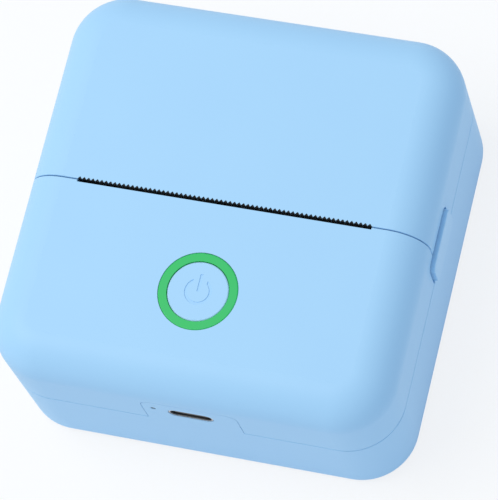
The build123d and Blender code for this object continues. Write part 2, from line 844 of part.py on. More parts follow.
with BuildPart() as inner_frame:
    for start in (-plate_out, plate_in):
        with BuildSketch(Plane.YZ.offset(start)):
            with BuildLine():
                Polyline(*plate_outline, close=True)
            make_face()
            with BuildSketch(mode=Mode.PRIVATE) as bay_end:
                with Locations((roll_y, roll_z)):
                    Circle(bay_outer)
                    with Locations((0, bay_rear_rise)):
                        Rectangle(
                            2 * bay_outer,
                            2 * bay_outer,
                            align=(Align.CENTER, Align.MAX),
                            mode=Mode.INTERSECT,
                        )
            add(bay_end.sketch)
            # seat for the platen's shaft, open at the top
            with Locations((platen_y, platen_z - shaft_radius - notch_gap)):
                Rectangle(
                    2 * (shaft_radius + notch_gap),
                    platen_radius,
                    align=(Align.CENTER, Align.MIN),
                    mode=Mode.SUBTRACT,
                )
        extrude(amount=side_plate)
    # the trough, open at the top
    with BuildSketch(Plane.YZ.offset(-plate_in)):
        with Locations((roll_y, roll_z)):
            Circle(bay_outer)
            Circle(bay_radius, mode=Mode.SUBTRACT)
            with Locations((0, bay_front_rise)):
                Rectangle(bay_outer, 2 * bay_outer, align=(Align.MAX, Align.MIN), mode=Mode.SUBTRACT)
            with Locations((0, bay_rear_rise)):
                Rectangle(bay_outer, 2 * bay_outer, align=(Align.MIN, Align.MIN), mode=Mode.SUBTRACT)
    extrude(amount=2 * plate_in)
    # the wall behind the head springs
    add(
        block(
            (-plate_in, plate_in),
            (spring_wall_front, spring_wall_y),
            (plate_shoulder + spring_wall_lift, platen_z + spring_wall_rise),
        )
    )
    # tabs screwed to the floor, and ears held by the rear case screws
    for x, y in inner_screw_spots:
        add(rod((x, y, inner_boss_top), (0, 0, 1), inner_boss_radius, inner_tab))
        reach = sorted((x, (plate_in + plate_out) / 2 * (1 if x > 0 else -1)))
        add(
            block(
                reach,
                (y - inner_boss_radius, y + inner_boss_radius),
                (inner_boss_top, inner_boss_top + inner_tab),
            )
        )
    for x, y in rear_screw_spots:
        add(rod((x, y, lower_boss_z), (0, 0, 1), boss_radius, rear_ear_height))
        reach = sorted((x, (plate_in + plate_out) / 2 * (1 if x > 0 else -1)))
        add(
            block(
                reach,
                (y - boss_radius, y + rear_ear_web - boss_radius),
                (lower_boss_z, lower_boss_z + rear_ear_height),
            )
        )
    # guides for the rods of the latch button
    for y, z in rod_spots:
        add(rod((plate_in, y, z), (1, 0, 0), latch_guide_radius, side_plate + latch_guide_length))
    # holes
    for x, y in inner_screw_spots:
        add(
            rod((x, y, inner_boss_top), (0, 0, 1), screw_radius + screw_hole_gap, 2 * inner_tab),
            mode=Mode.SUBTRACT,
        )
    for x, y in rear_screw_spots:
        add(
            rod((x, y, lower_boss_z), (0, 0, 1), screw_radius + thread_gap, rear_ear_height),
            mode=Mode.SUBTRACT,
        )
    for y, z in rod_spots:
        add(
            rod((plate_in, y, z), (1, 0, 0), latch_rod_radius + running_gap, body_width / 4),
            mode=Mode.SUBTRACT,
        )
    for start in (-plate_out, plate_in):
        add(
            rod((start, pivot_y, pivot_z), (1, 0, 0), pivot_radius + running_gap, side_plate),
            mode=Mode.SUBTRACT,
        )
    left = -plate_out
    add(rod((left, drive_y, drive_z), (1, 0, 0), axle_radius, side_plate), mode=Mode.SUBTRACT)
    add(
        rod((left, motor_y, motor_z), (1, 0, 0), motor_boss_radius + screw_hole_gap, side_plate),
        mode=Mode.SUBTRACT,
    )
    for y, z in motor_lug_spots:
        add(
            rod((left, y, z), (1, 0, 0), motor_screw_radius + thread_gap, side_plate),
            mode=Mode.SUBTRACT,
        )
inner_frame.part.label = "inner_frame"
export_step(inner_frame.part, "parts/inner_frame.step")

with BuildPart() as frame_screws:
    for x, y in inner_screw_spots:
        seat = (x, y, inner_boss_top + inner_tab)
        add(screw(seat, (0, 0, -1), screw_radius, screw_head_radius, board_screw_head, inner_screw_length))
frame_screws.part.label = "frame_screws"
export_step(frame_screws.part, "parts/frame_screws.step")

# Lid frame: side arms with the platen's ears, a bridge, screw lugs and the latch catch
arm_back = frame_screw_y + frame_screw_pitch + lid_lug_radius
arm_top = ceiling_z - bridge_drop
lid_lug_z = lid_boss_z - lug_plate
with BuildPart() as lid_frame:
    for start in (-ear_out, ear_in):
        with BuildSketch(Plane.YZ.offset(start)):
            with Locations((platen_y, platen_z)):
                Circle(ear_radius)
            with Locations((platen_y - bush_radius, lid_boss_z)):
                Rectangle(
                    arm_back - platen_y + bush_radius,
                    arm_top - lid_boss_z,
                    align=(Align.MIN, Align.MIN),
                )
            with Locations((platen_y, platen_z)):
                Circle(bush_radius, mode=Mode.SUBTRACT)
        extrude(amount=ear_thickness)
    add(block((-ear_out, ear_out), (bridge_front, bridge_back), (arm_top - bridge_thickness, arm_top)))
    for x, y in lid_boss_spots:
        add(rod((x, y, lid_lug_z), (0, 0, 1), lid_lug_radius, lug_plate))
        reach = sorted((x, (ear_in + ear_out) / 2 * (1 if x > 0 else -1)))
        add(block(reach, (y - lid_lug_radius, y + lid_lug_radius), (lid_lug_z, lid_boss_z)))
        reach = sorted((ear_in, ear_out)) if x > 0 else sorted((-ear_in, -ear_out))
        add(block(reach, (y - lid_lug_radius, y + lid_lug_radius), (lid_lug_z, arm_top)))
    # catch finger with a window, on the right
    catch_in = ear_out + catch_gap
    catch_out = catch_in + catch_width
    catch_side = (catch_y - catch_depth / 2, catch_y + catch_depth / 2)
    catch_root = lid_boss_z + 2 * catch_width
    add(block((ear_in, catch_out), catch_side, (lid_boss_z + catch_width, catch_root)))
    add(block((catch_in, catch_out), catch_side, (lid_boss_z - catch_drop, catch_root)))
    window_side = (catch_side[0] + catch_rim, catch_side[1] - catch_rim)
    window_low = nose_z - nose_height / 2 - moving_gap
    window_high = nose_z + nose_height / 2 + moving_gap
    add(block((catch_in, catch_out), window_side, (window_low, window_high)), mode=Mode.SUBTRACT)
    for x, y in lid_boss_spots:
        add(
            rod((x, y, lid_lug_z), (0, 0, 1), screw_radius + screw_hole_gap, lug_plate),
            mode=Mode.SUBTRACT,
        )
lid_frame.part.label = "lid_frame"
export_step(lid_frame.part, "parts/lid_frame.step")

with BuildPart() as lid_frame_screws:
    for x, y in lid_boss_spots:
        seat = (x, y, lid_lug_z)
        length = lug_plate + inner_screw_length - moving_gap
        add(screw(seat, (0, 0, 1), screw_radius, screw_head_radius, board_screw_head, length))
lid_frame_screws.part.label = "lid_frame_screws"
export_step(lid_frame_screws.part, "parts/lid_frame_screws.step")

# Platen: shaft, rubber roller, bushes and gear
with BuildPart() as platen_shaft:
    start = -gear_out - shaft_end
    add(rod((start, platen_y, platen_z), (1, 0, 0), shaft_radius, bush_out + shaft_end - start))
    chamfer(platen_shaft.edges().filter_by(GeomType.CIRCLE), shaft_radius / 6)
platen_shaft.part.label = "platen_shaft"
export_step(platen_shaft.part, "parts/platen_shaft.step")

with BuildPart() as platen_roller:
    start = (-platen_length / 2, platen_y, platen_z)
    add(rod(start, (1, 0, 0), platen_radius, platen_length, bore=shaft_radius))
platen_roller.part.label = "platen_roller"
export_step(platen_roller.part, "parts/platen_roller.step")

with BuildPart() as platen_bushes:
    for start in (-bush_out, bush_in):
        at = (start, platen_y, platen_z)
        add(rod(at, (1, 0, 0), bush_radius, bush_out - bush_in, bore=shaft_radius + running_gap))
platen_bushes.part.label = "platen_bushes"
export_step(platen_bushes.part, "parts/platen_bushes.step")

to_drive = degrees(atan2(drive_z - platen_z, drive_y - platen_y))
with BuildPart() as platen_gear:
    add(gear(platen_teeth, (platen_y, platen_z), -gear_out, gear_width, to_drive, shaft_radius))
platen_gear.part.label = "platen_gear"
export_step(platen_gear.part, "parts/platen_gear.step")

# Double gear: the small wheel drives the platen, the large one is driven by the motor
to_platen = to_drive + 180
to_motor = degrees(motor_angle)
axle_bore = axle_radius + running_gap
with BuildPart() as drive_gear:
    half_tooth = 180 / small_teeth
    width = large_in - gear_in
    add(gear(small_teeth, (drive_y, drive_z), -large_in, width, to_platen + half_tooth, axle_bore))
    add(gear(large_teeth, (drive_y, drive_z), -large_out, gear_width, to_motor, axle_bore))
drive_gear.part.label = "drive_gear"
export_step(drive_gear.part, "parts/drive_gear.step")

with BuildPart() as drive_gear_axle:
    head_start = -large_out - moving_gap
    add(rod((head_start, drive_y, drive_z), (1, 0, 0), axle_radius, -plate_in - head_start))
    add(rod((head_start, drive_y, drive_z), (-1, 0, 0), axle_head_radius, axle_head))
    shoulder = (-plate_out, drive_y, drive_z)
    add(rod(shoulder, (-1, 0, 0), axle_head_radius, gear_in - moving_gap - plate_out))
drive_gear_axle.part.label = "drive_gear_axle"
export_step(drive_gear_axle.part, "parts/drive_gear_axle.step")

# Motor: can with its flange, shaft and pinion
with BuildPart() as motor_can:
    add(rod((-plate_in, motor_y, motor_z), (1, 0, 0), motor_radius, motor_length))
    fillet(motor_can.edges().filter_by(GeomType.CIRCLE).sort_by(Axis.X)[-1], motor_flange)
    with BuildSketch(Plane.YZ.offset(-plate_in)):
        with Locations(Location((motor_y, motor_z), degrees(motor_lug_angle))):
            SlotCenterToCenter(motor_lug_spacing, 2 * motor_lug_radius)
    extrude(amount=motor_flange)
    add(rod((-plate_in, motor_y, motor_z), (-1, 0, 0), motor_boss_radius, motor_boss))
    add(
        rod((-plate_out, motor_y, motor_z), (1, 0, 0), motor_shaft_radius + running_gap,
            side_plate + motor_length - 2 * motor_flange),
        mode=Mode.SUBTRACT,
    )
    for y, z in motor_lug_spots:
        add(
            rod((-plate_in, y, z), (1, 0, 0), motor_screw_radius + screw_hole_gap, motor_flange),
            mode=Mode.SUBTRACT,
        )
motor_can.part.label = "motor_can"
export_step(motor_can.part, "parts/motor_can.step")

with BuildPart() as motor_shaft:
    end = -plate_in + motor_length - 3 * motor_flange
    add(rod((-large_out, motor_y, motor_z), (1, 0, 0), motor_shaft_radius, end + large_out))
motor_shaft.part.label = "motor_shaft"
export_step(motor_shaft.part, "parts/motor_shaft.step")

with BuildPart() as motor_pinion:
    half_tooth = 180 / pinion_teeth
    add(
        gear(pinion_teeth, (motor_y, motor_z), -large_out, gear_width,
             to_motor + 180 + half_tooth, motor_shaft_radius)
    )
motor_pinion.part.label = "motor_pinion"
export_step(motor_pinion.part, "parts/motor_pinion.step")

with BuildPart() as motor_screws:
    for y, z in motor_lug_spots:
        seat = (-plate_in + motor_flange, y, z)
        length = motor_flange + side_plate
        add(screw(seat, (-1, 0, 0), motor_screw_radius, motor_screw_head, motor_flange, length))
motor_screws.part.label = "motor_screws"
export_step(motor_screws.part, "parts/motor_screws.step")

# Print head: plate on two trunnions, heater strip and the cover of its drivers
head_half = plate_in - head_side_gap
with BuildPart() as print_head_plate:
    add(block((-head_half, head_half), (head_back_y, strip_back_y), (head_bottom_z, head_top_z)))
    reach = plate_out - pivot_end_gap
    add(rod((-reach, pivot_y, pivot_z), (1, 0, 0), pivot_radius, 2 * reach))
print_head_plate.part.label = "print_head_plate"
export_step(print_head_plate.part, "parts/print_head_plate.step")

with BuildPart() as heater_strip:
    half = roll_width / 2
    add(block((-half, half), (strip_back_y, strip_face_y), (strip_bottom_z, strip_top_z)))
heater_strip.part.label = "heater_strip"
export_step(heater_strip.part, "parts/heater_strip.step")

with BuildPart() as driver_cover:
    half = roll_width / 2 - guard_inset
    low = max(head_bottom_z, pivot_z + pivot_radius)
    add(block((-half, half), (strip_back_y, strip_back_y + guard_depth), (low, strip_bottom_z - guard_gap)))
    fillet(driver_cover.faces().sort_by(Axis.Y)[-1].edges().filter_by(Axis.X), guard_depth / 3)
driver_cover.part.label = "driver_cover"
export_step(driver_cover.part, "parts/driver_cover.step")

with BuildPart() as head_springs:
    for x in (-head_spring_x, head_spring_x):
        seat = (x, spring_wall_y, platen_z - head_spring_drop)
        add(coil(seat, (0, 1, 0), head_spring_radius, spring_wire, spring_room, head_spring_turns))
head_springs.part.label = "head_springs"
export_step(head_springs.part, "parts/head_springs.step")

# Main board on its posts, with its screws
with BuildPart() as main_board:
    half = main_board_width / 2
    add(block((-half, half), (main_board_front, main_board_back), (main_board_z, main_board_top)))
    for x, y in post_spots:
        add(
            rod((x, y, main_board_z), (0, 0, 1), screw_radius + screw_hole_gap, board_thickness),
            mode=Mode.SUBTRACT,
        )
main_board.part.label = "main_board"
export_step(main_board.part, "parts/main_board.step")

with BuildPart() as board_screws:
    for x, y in post_spots:
        seat = (x, y, main_board_top)
        add(screw(seat, (0, 0, -1), screw_radius, screw_head_radius, board_screw_head, board_screw_length))
board_screws.part.label = "board_screws"
export_step(board_screws.part, "parts/board_screws.step")

# Charging socket and the tongue inside it
port_face_y = -half_depth + port_recess
with BuildPart() as usb_c_port:
    with BuildSketch(Plane.XZ.offset(-port_face_y)):
        with Locations((port_x, port_z)):
            SlotOverall(port_width, port_height)
    extrude(amount=-port_length)
    with BuildSketch(Plane.XZ.offset(-port_face_y)):
        with Locations((port_x, port_z)):
            SlotOverall(port_width - 2 * port_wall, port_height - 2 * port_wall)
    extrude(amount=-(port_length - port_back), mode=Mode.SUBTRACT)
usb_c_port.part.label = "usb_c_port"
export_step(usb_c_port.part, "parts/usb_c_port.step")

with BuildPart() as usb_tongue:
    back = port_face_y + port_length - port_back
    add(
        block(
            (port_x - tongue_width / 2, port_x + tongue_width / 2),
            (port_face_y + port_wall, back),
            (port_z - tongue_thickness / 2, port_z + tongue_thickness / 2),
        )
    )
usb_tongue.part.label = "usb_tongue"
export_step(usb_tongue.part, "parts/usb_tongue.step")

# Charge light on the board and the pipe that takes it to the front wall
with BuildPart() as charge_led:
    light_y = main_board_front + light_setback
    add(
        block(
            (light_x - light_size / 2, light_x + light_size / 2),
            (light_y - light_size / 2, light_y + light_size / 2),
            (main_board_top, main_board_top + light_height),
        )
    )
charge_led.part.label = "charge_led"
export_step(charge_led.part, "parts/charge_led.step")

with BuildPart() as light_pipe:
    pipe_radius = light_hole_radius - running_gap
    start = -half_depth + light_pipe_recess
    add(rod((light_x, start, light_z), (0, 1, 0), pipe_radius, light_y + pipe_radius - start))
    low = main_board_top + light_height
    add(
        block(
            (light_x - pipe_radius, light_x + pipe_radius),
            (light_y - pipe_radius, light_y + pipe_radius),
            (low, light_z),
        )
    )
light_pipe.part.label = "light_pipe"
export_step(light_pipe.part, "parts/light_pipe.step")


def chip(x, y, width, depth, height):
    # a component that stands on the main board, with a bevel round its top
    with BuildPart() as made:
        add(
            block(
                (x - width / 2, x + width / 2),
                (y - depth / 2, y + depth / 2),
                (main_board_top, main_board_top + height),
            )
        )
        chamfer(made.faces().sort_by(Axis.Z)[-1].edges(), chip_bevel)
    return made.part


with BuildPart() as processor_chip:
    setback = main_board_front + processor_setback
    add(chip(processor_x, setback, processor_size, processor_size, processor_height))
processor_chip.part.label = "processor_chip"
export_step(processor_chip.part, "parts/processor_chip.step")

with BuildPart() as radio_module:
    add(chip(radio_x, main_board_front + radio_setback, radio_width, radio_depth, radio_height))
radio_module.part.label = "radio_module"
export_step(radio_module.part, "parts/radio_module.step")

with BuildPart() as driver_chips:
    for x in (driver_x - driver_pitch / 2, driver_x + driver_pitch / 2):
        add(chip(x, main_board_front + driver_setback, driver_size, driver_size, driver_height))
driver_chips.part.label = "driver_chips"
export_step(driver_chips.part, "parts/driver_chips.step")

# Connectors at the back edge of the main board, each with a slot for its flat cable
def cable_connector(x_from, x_to):
    with BuildPart() as made:
        add(
            block(
                (x_from - connector_rim, x_to + connector_rim),
                (main_board_back - connector_depth, main_board_back),
                (main_board_top, main_board_top + connector_height),
            )
        )
        half = cable_thickness / 2 + cable_slot_gap
        add(
            block(
                (x_from - cable_slot_gap, x_to + cable_slot_gap),
                (main_board_back - cable_reach, main_board_back),
                (cable_z - half, cable_z + half),
            ),
            mode=Mode.SUBTRACT,
        )
    return made.part


cable_z = main_board_top + connector_height / 2
with BuildPart() as head_connector:
    add(cable_connector(head_cable_x, head_cable_x + head_cable_width))
head_connector.part.label = "head_connector"
export_step(head_connector.part, "parts/head_connector.step")

with BuildPart() as motor_connector:
    add(cable_connector(motor_cable_x, motor_cable_x + motor_cable_width))
motor_connector.part.label = "motor_connector"
export_step(motor_connector.part, "parts/motor_connector.step")

# Flat cables of the print head and of the motor
cable_y = (main_board_back + spring_wall_front) / 2
with BuildPart() as head_flex_cable:
    near_head = head_back_y - moving_gap - cable_thickness / 2
    under_head = head_bottom_z - cable_sag
    route = [
        (near_head, pivot_z + cable_sag),
        (near_head, under_head),
        (cable_y, under_head),
        (cable_y, cable_z),
        (main_board_back - cable_reach + cable_slot_gap, cable_z),
    ]
    add(ribbon(route, cable_bend, head_cable_x, head_cable_x + head_cable_width, cable_thickness))
head_flex_cable.part.label = "head_flex_cable"
export_step(head_flex_cable.part, "parts/head_flex_cable.step")

with BuildPart() as motor_flex_cable:
    can_top = motor_z + sqrt(motor_radius**2 - (cable_y + cable_thickness / 2 - motor_y) ** 2)
    route = [
        (cable_y, can_top + cable_slot_gap),
        (cable_y, cable_z),
        (main_board_back - cable_reach + cable_slot_gap, cable_z),
    ]
    add(ribbon(route, cable_bend, motor_cable_x, motor_cable_x + motor_cable_width, cable_thickness))
motor_flex_cable.part.label = "motor_flex_cable"
export_step(motor_flex_cable.part, "parts/motor_flex_cable.step")

# Battery pack on its tape, its connector and its two leads
battery_z = floor_z + battery_tape_thickness
with BuildPart() as battery_tape:
    with BuildSketch(Plane.XY.offset(floor_z)):
        with Locations((battery_x, battery_y)):
            Rectangle(battery_width - 4 * battery_round, battery_depth - 4 * battery_round)
    extrude(amount=battery_tape_thickness)
battery_tape.part.label = "battery_tape"
export_step(battery_tape.part, "parts/battery_tape.step")

with BuildPart() as battery_pack:
    with BuildSketch(Plane.YZ.offset(battery_x - battery_width / 2)):
        with Locations((battery_y, battery_z + battery_height / 2)):
            RectangleRounded(battery_depth, battery_height, battery_round)
    extrude(amount=battery_width)
battery_pack.part.label = "battery_pack"
export_step(battery_pack.part, "parts/battery_pack.step")

lead_end_x = main_board_width / 2 - lead_plug_inset
lead_z = main_board_top + lead_plug_height / 2
with BuildPart() as battery_connector:
    add(
        block(
            (lead_end_x - lead_plug_depth, lead_end_x),
            (battery_y - lead_middle - lead_plug_width / 2, battery_y - lead_middle + lead_plug_width / 2),
            (main_board_top, main_board_top + lead_plug_height),
        )
    )
battery_connector.part.label = "battery_connector"
export_step(battery_connector.part, "parts/battery_connector.step")


def battery_lead(y):
    # up from the battery's end, past the edge of the main board and into the plug
    start = (battery_x + battery_width / 2, y, battery_z + battery_height / 2)
    turn_x = main_board_width / 2 + lead_board_gap
    with BuildPart() as made:
        with BuildLine() as path:
            FilletPolyline(
                start,
                (turn_x, y, start[2]),
                (turn_x, y, lead_z),
                (lead_end_x, y, lead_z),
                radius=lead_bend,
            )
        with BuildSketch(Plane(path.line @ 0, z_dir=path.line % 0)):
            Circle(lead_radius)
        sweep()
    return made.part


with BuildPart() as battery_lead_red:
    add(battery_lead(battery_y - lead_middle + lead_pitch / 2))
battery_lead_red.part.label = "battery_lead_red"
export_step(battery_lead_red.part, "parts/battery_lead_red.step")

with BuildPart() as battery_lead_black:
    add(battery_lead(battery_y - lead_middle - lead_pitch / 2))
battery_lead_black.part.label = "battery_lead_black"
export_step(battery_lead_black.part, "parts/battery_lead_black.step")

# Button board under the front cover, with its screws, switch and ring of lights
with BuildPart() as button_board:
    with BuildSketch(Plane.XY.offset(button_board_z)):
        with Locations((ring_x, button_board_y)):
            RectangleRounded(button_board_width, button_board_depth, screw_radius)
        with Locations(*button_post_spots):
            Circle(screw_radius + screw_hole_gap, mode=Mode.SUBTRACT)
    extrude(amount=board_thickness)
button_board.part.label = "button_board"
export_step(button_board.part, "parts/button_board.step")

with BuildPart() as button_board_screws:
    for x, y in button_post_spots:
        seat = (x, y, button_board_z)
        add(screw(seat, (0, 0, 1), screw_radius, screw_head_radius, board_screw_head, board_screw_length))
button_board_screws.part.label = "button_board_screws"
export_step(button_board_screws.part, "parts/button_board_screws.step")

with BuildPart() as board_link_connector:
    link_y = main_board_back - connector_depth
    add(
        block(
            (ring_x - button_board_width / 2 + post_radius, ring_x - link_offset),
            (link_y, link_y + link_depth),
            (main_board_top, button_board_z),
        )
    )
board_link_connector.part.label = "board_link_connector"
export_step(board_link_connector.part, "parts/board_link_connector.step")

with BuildPart() as power_switch:
    with BuildSketch(Plane.XY.offset(button_board_top)):
        with Locations((ring_x, ring_y)):
            Rectangle(switch_size, switch_size)
    extrude(amount=switch_height)
    chamfer(power_switch.faces().sort_by(Axis.Z)[-1].edges(), switch_size / 30)
    add(
        rod((ring_x, ring_y, button_board_top + switch_height), (0, 0, -1),
            plunger_radius + running_gap, plunger_room),
        mode=Mode.SUBTRACT,
    )
power_switch.part.label = "power_switch"
export_step(power_switch.part, "parts/power_switch.step")

with BuildPart() as switch_plunger:
    low = button_board_top + switch_height - plunger_room + cap_travel + cap_gap
    stem_z = button_board_top + switch_height + plunger_rise
    add(rod((ring_x, ring_y, low), (0, 0, 1), plunger_radius, stem_z - low))
switch_plunger.part.label = "switch_plunger"
export_step(switch_plunger.part, "parts/switch_plunger.step")

with BuildPart() as ring_leds:
    with BuildSketch(Plane.XY.offset(button_board_top)):
        with Locations((ring_x, ring_y)):
            with PolarLocations(ring_light_radius, 4, start_angle=45):
                Rectangle(light_size / 2, light_size)
    extrude(amount=light_height)
ring_leds.part.label = "ring_leds"
export_step(ring_leds.part, "parts/ring_leds.step")

# Light ring: flush with the cover, held by a flange under it, with a skirt round the cap
ring_flange_z = ceiling_z - ring_flange
skirt_z = button_board_top + light_height + moving_gap
with BuildPart() as light_ring:
    add(rod((ring_x, ring_y, ring_flange_z), (0, 0, 1), ring_radius, top_z - ring_flange_z))
    fillet(light_ring.edges().sort_by(Axis.Z)[-1], ring_edge_round)
    add(rod((ring_x, ring_y, ring_flange_z), (0, 0, 1), ring_radius + ring_flange_width, ring_flange))
    add(rod((ring_x, ring_y, skirt_z), (0, 0, 1), ring_skirt_radius, ring_flange_z - skirt_z))
    add(
        rod((ring_x, ring_y, ring_flange_z), (0, 0, 1), ring_radius - ring_width, top_z - ring_flange_z),
        mode=Mode.SUBTRACT,
    )
    add(
        rod((ring_x, ring_y, skirt_z), (0, 0, 1), ring_skirt_radius - ring_skirt, ring_flange_z - skirt_z),
        mode=Mode.SUBTRACT,
    )
light_ring.part.label = "light_ring"
export_step(light_ring.part, "parts/light_ring.step")

# Power button: cap with the engraved mark, flange that keeps it in, and stem
cap_flange_z = ring_flange_z - 2 * cap_gap - cap_flange
with BuildPart() as power_button:
    add(rod((ring_x, ring_y, cap_flange_z), (0, 0, 1), cap_radius, top_z - cap_sink - cap_flange_z))
    fillet(power_button.edges().sort_by(Axis.Z)[-1], cap_edge_round)
    add(rod((ring_x, ring_y, cap_flange_z), (0, 0, 1), cap_flange_radius, cap_flange))
    add(rod((ring_x, ring_y, stem_z), (0, 0, 1), stem_radius, cap_flange_z - stem_z))
    # the mark: an open ring and a bar, sunk into the top
    with BuildSketch(Plane.XY.offset(top_z - cap_sink - mark_depth)):
        with Locations((ring_x, ring_y)):
            Circle(mark_radius + mark_line / 2)
            Circle(mark_radius - mark_line / 2, mode=Mode.SUBTRACT)
            opening_width = 2 * mark_radius * sin(radians(mark_opening / 2))
            opening_depth = 2 * mark_radius * cos(radians(mark_opening / 2))
            with Locations((0, mark_radius)):
                Rectangle(opening_width, opening_depth, mode=Mode.SUBTRACT)
            Rectangle(mark_line, mark_bar, align=(Align.CENTER, Align.MIN))
    extrude(amount=mark_depth + cap_sink, mode=Mode.SUBTRACT)
power_button.part.label = "power_button"
export_step(power_button.part, "parts/power_button.step")

# Sensors: the paper sensor on the trough's front edge, the lid switch on the right plate
with BuildPart() as paper_sensor:
    sensor_z = roll_z + bay_front_rise
    sensor_front = roll_y - sqrt(bay_outer**2 - bay_front_rise**2)
    add(
        block(
            (paper_sensor_x - sensor_width / 2, paper_sensor_x + sensor_width / 2),
            (sensor_front, sensor_front + bay_wall),
            (sensor_z, sensor_z + sensor_height),
        )
    )
paper_sensor.part.label = "paper_sensor"
export_step(paper_sensor.part, "parts/paper_sensor.step")

with BuildPart() as lid_switch:
    switch_top = roll_z + plate_shoulder_rise
    middle = (lid_switch_y - lid_switch_length / 2, lid_switch_y + lid_switch_length / 2)
    across = (plate_out, plate_out + lid_switch_width)
    add(block(across, middle, (switch_top - lid_switch_height, switch_top)))
    at = (plate_out + lid_switch_width / 2, lid_switch_y, switch_top)
    add(rod(at, (0, 0, 1), lid_switch_width / 4, lid_boss_z - moving_gap - switch_top))
lid_switch.part.label = "lid_switch"
export_step(lid_switch.part, "parts/lid_switch.step")

# Latch button: cap in the right wall, flange inside it, nose at the catch, two guide rods
latch_face_in = half_width - wall - moving_gap
latch_flange_x = latch_face_in - latch_flange
guide_end = plate_out + latch_guide_length
with BuildPart() as latch_button:
    with BuildSketch(Plane.YZ.offset(latch_face_in)):
        with Locations((latch_y, latch_z)):
            RectangleRounded(latch_length, latch_height, latch_round)
    extrude(amount=half_width + latch_proud - latch_face_in)
    fillet(latch_button.faces().sort_by(Axis.X)[-1].edges(), latch_edge_round)
    with BuildSketch(Plane.YZ.offset(latch_flange_x)):
        with Locations((latch_y, latch_z)):
            RectangleRounded(
                latch_length + 2 * latch_flange_rim, latch_height + 2 * latch_flange_rim, latch_round
            )
    extrude(amount=latch_flange)
    for y, z in rod_spots:
        reach = latch_flange_x - plate_out + latch_rod_entry
        add(rod((latch_flange_x, y, z), (-1, 0, 0), latch_rod_radius, reach))
    add(
        block(
            (latch_flange_x - latch_nose_length, latch_flange_x),
            (window_side[0] + moving_gap, window_side[1] - moving_gap),
            (nose_z - nose_height / 2, nose_z + nose_height / 2),
        )
    )
latch_button.part.label = "latch_button"
export_step(latch_button.part, "parts/latch_button.step")

with BuildPart() as latch_springs:
    for y, z in rod_spots:
        room = latch_flange_x - guide_end
        seat = (guide_end, y, z)
        add(coil(seat, (1, 0, 0), latch_spring_radius, latch_spring_wire, room, latch_spring_turns))
latch_springs.part.label = "latch_springs"
export_step(latch_springs.part, "parts/latch_springs.step")
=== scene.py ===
import math
import random
import bpy
import bmesh
from mathutils import Matrix, Vector


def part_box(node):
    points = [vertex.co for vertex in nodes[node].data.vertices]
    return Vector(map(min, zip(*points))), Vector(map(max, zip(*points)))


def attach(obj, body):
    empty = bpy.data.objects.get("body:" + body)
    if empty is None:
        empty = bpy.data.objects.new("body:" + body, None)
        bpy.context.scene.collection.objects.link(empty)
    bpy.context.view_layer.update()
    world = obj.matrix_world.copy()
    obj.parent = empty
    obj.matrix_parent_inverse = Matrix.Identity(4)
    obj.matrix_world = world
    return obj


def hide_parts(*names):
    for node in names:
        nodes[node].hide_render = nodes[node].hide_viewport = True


# Pocket thermal printer in light blue ABS. Sizes are in millimetres here and turned to
# metres where a mesh is made; X runs along the paper slot, the charging port faces -Y.
mm = 0.001

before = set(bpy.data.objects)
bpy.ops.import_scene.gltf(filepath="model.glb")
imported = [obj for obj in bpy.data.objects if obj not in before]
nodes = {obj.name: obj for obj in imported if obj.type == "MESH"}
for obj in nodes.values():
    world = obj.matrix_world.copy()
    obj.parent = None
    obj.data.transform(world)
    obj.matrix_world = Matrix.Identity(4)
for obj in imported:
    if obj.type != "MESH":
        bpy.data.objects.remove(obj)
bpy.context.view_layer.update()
print("stage 1: frame loaded,", len(nodes), "nodes")


def boxOf(node):
    # lowest and highest corner of a CAD node, in mm
    low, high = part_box(node)
    return [v / mm for v in low], [v / mm for v in high]


def linear(hexText):
    # an sRGB hex colour as the linear one that sockets take
    parts = [int(hexText[i:i + 2], 16) / 255 for i in (1, 3, 5)]
    return tuple(p / 12.92 if p <= 0.04045 else ((p + 0.055) / 1.055) ** 2.4 for p in parts) + (1.0,)


def addNode(tree, kind, settings=None, links=None):
    # settings go to an input (by name or number) or else to the node itself; links feed inputs
    node = tree.nodes.new(kind)
    for key, value in (settings or {}).items():
        if isinstance(key, int) or key in node.inputs:
            node.inputs[key].default_value = value
        else:
            setattr(node, key, value)
    for key, source in (links or {}).items():
        tree.links.new(source, node.inputs[key])
    return node


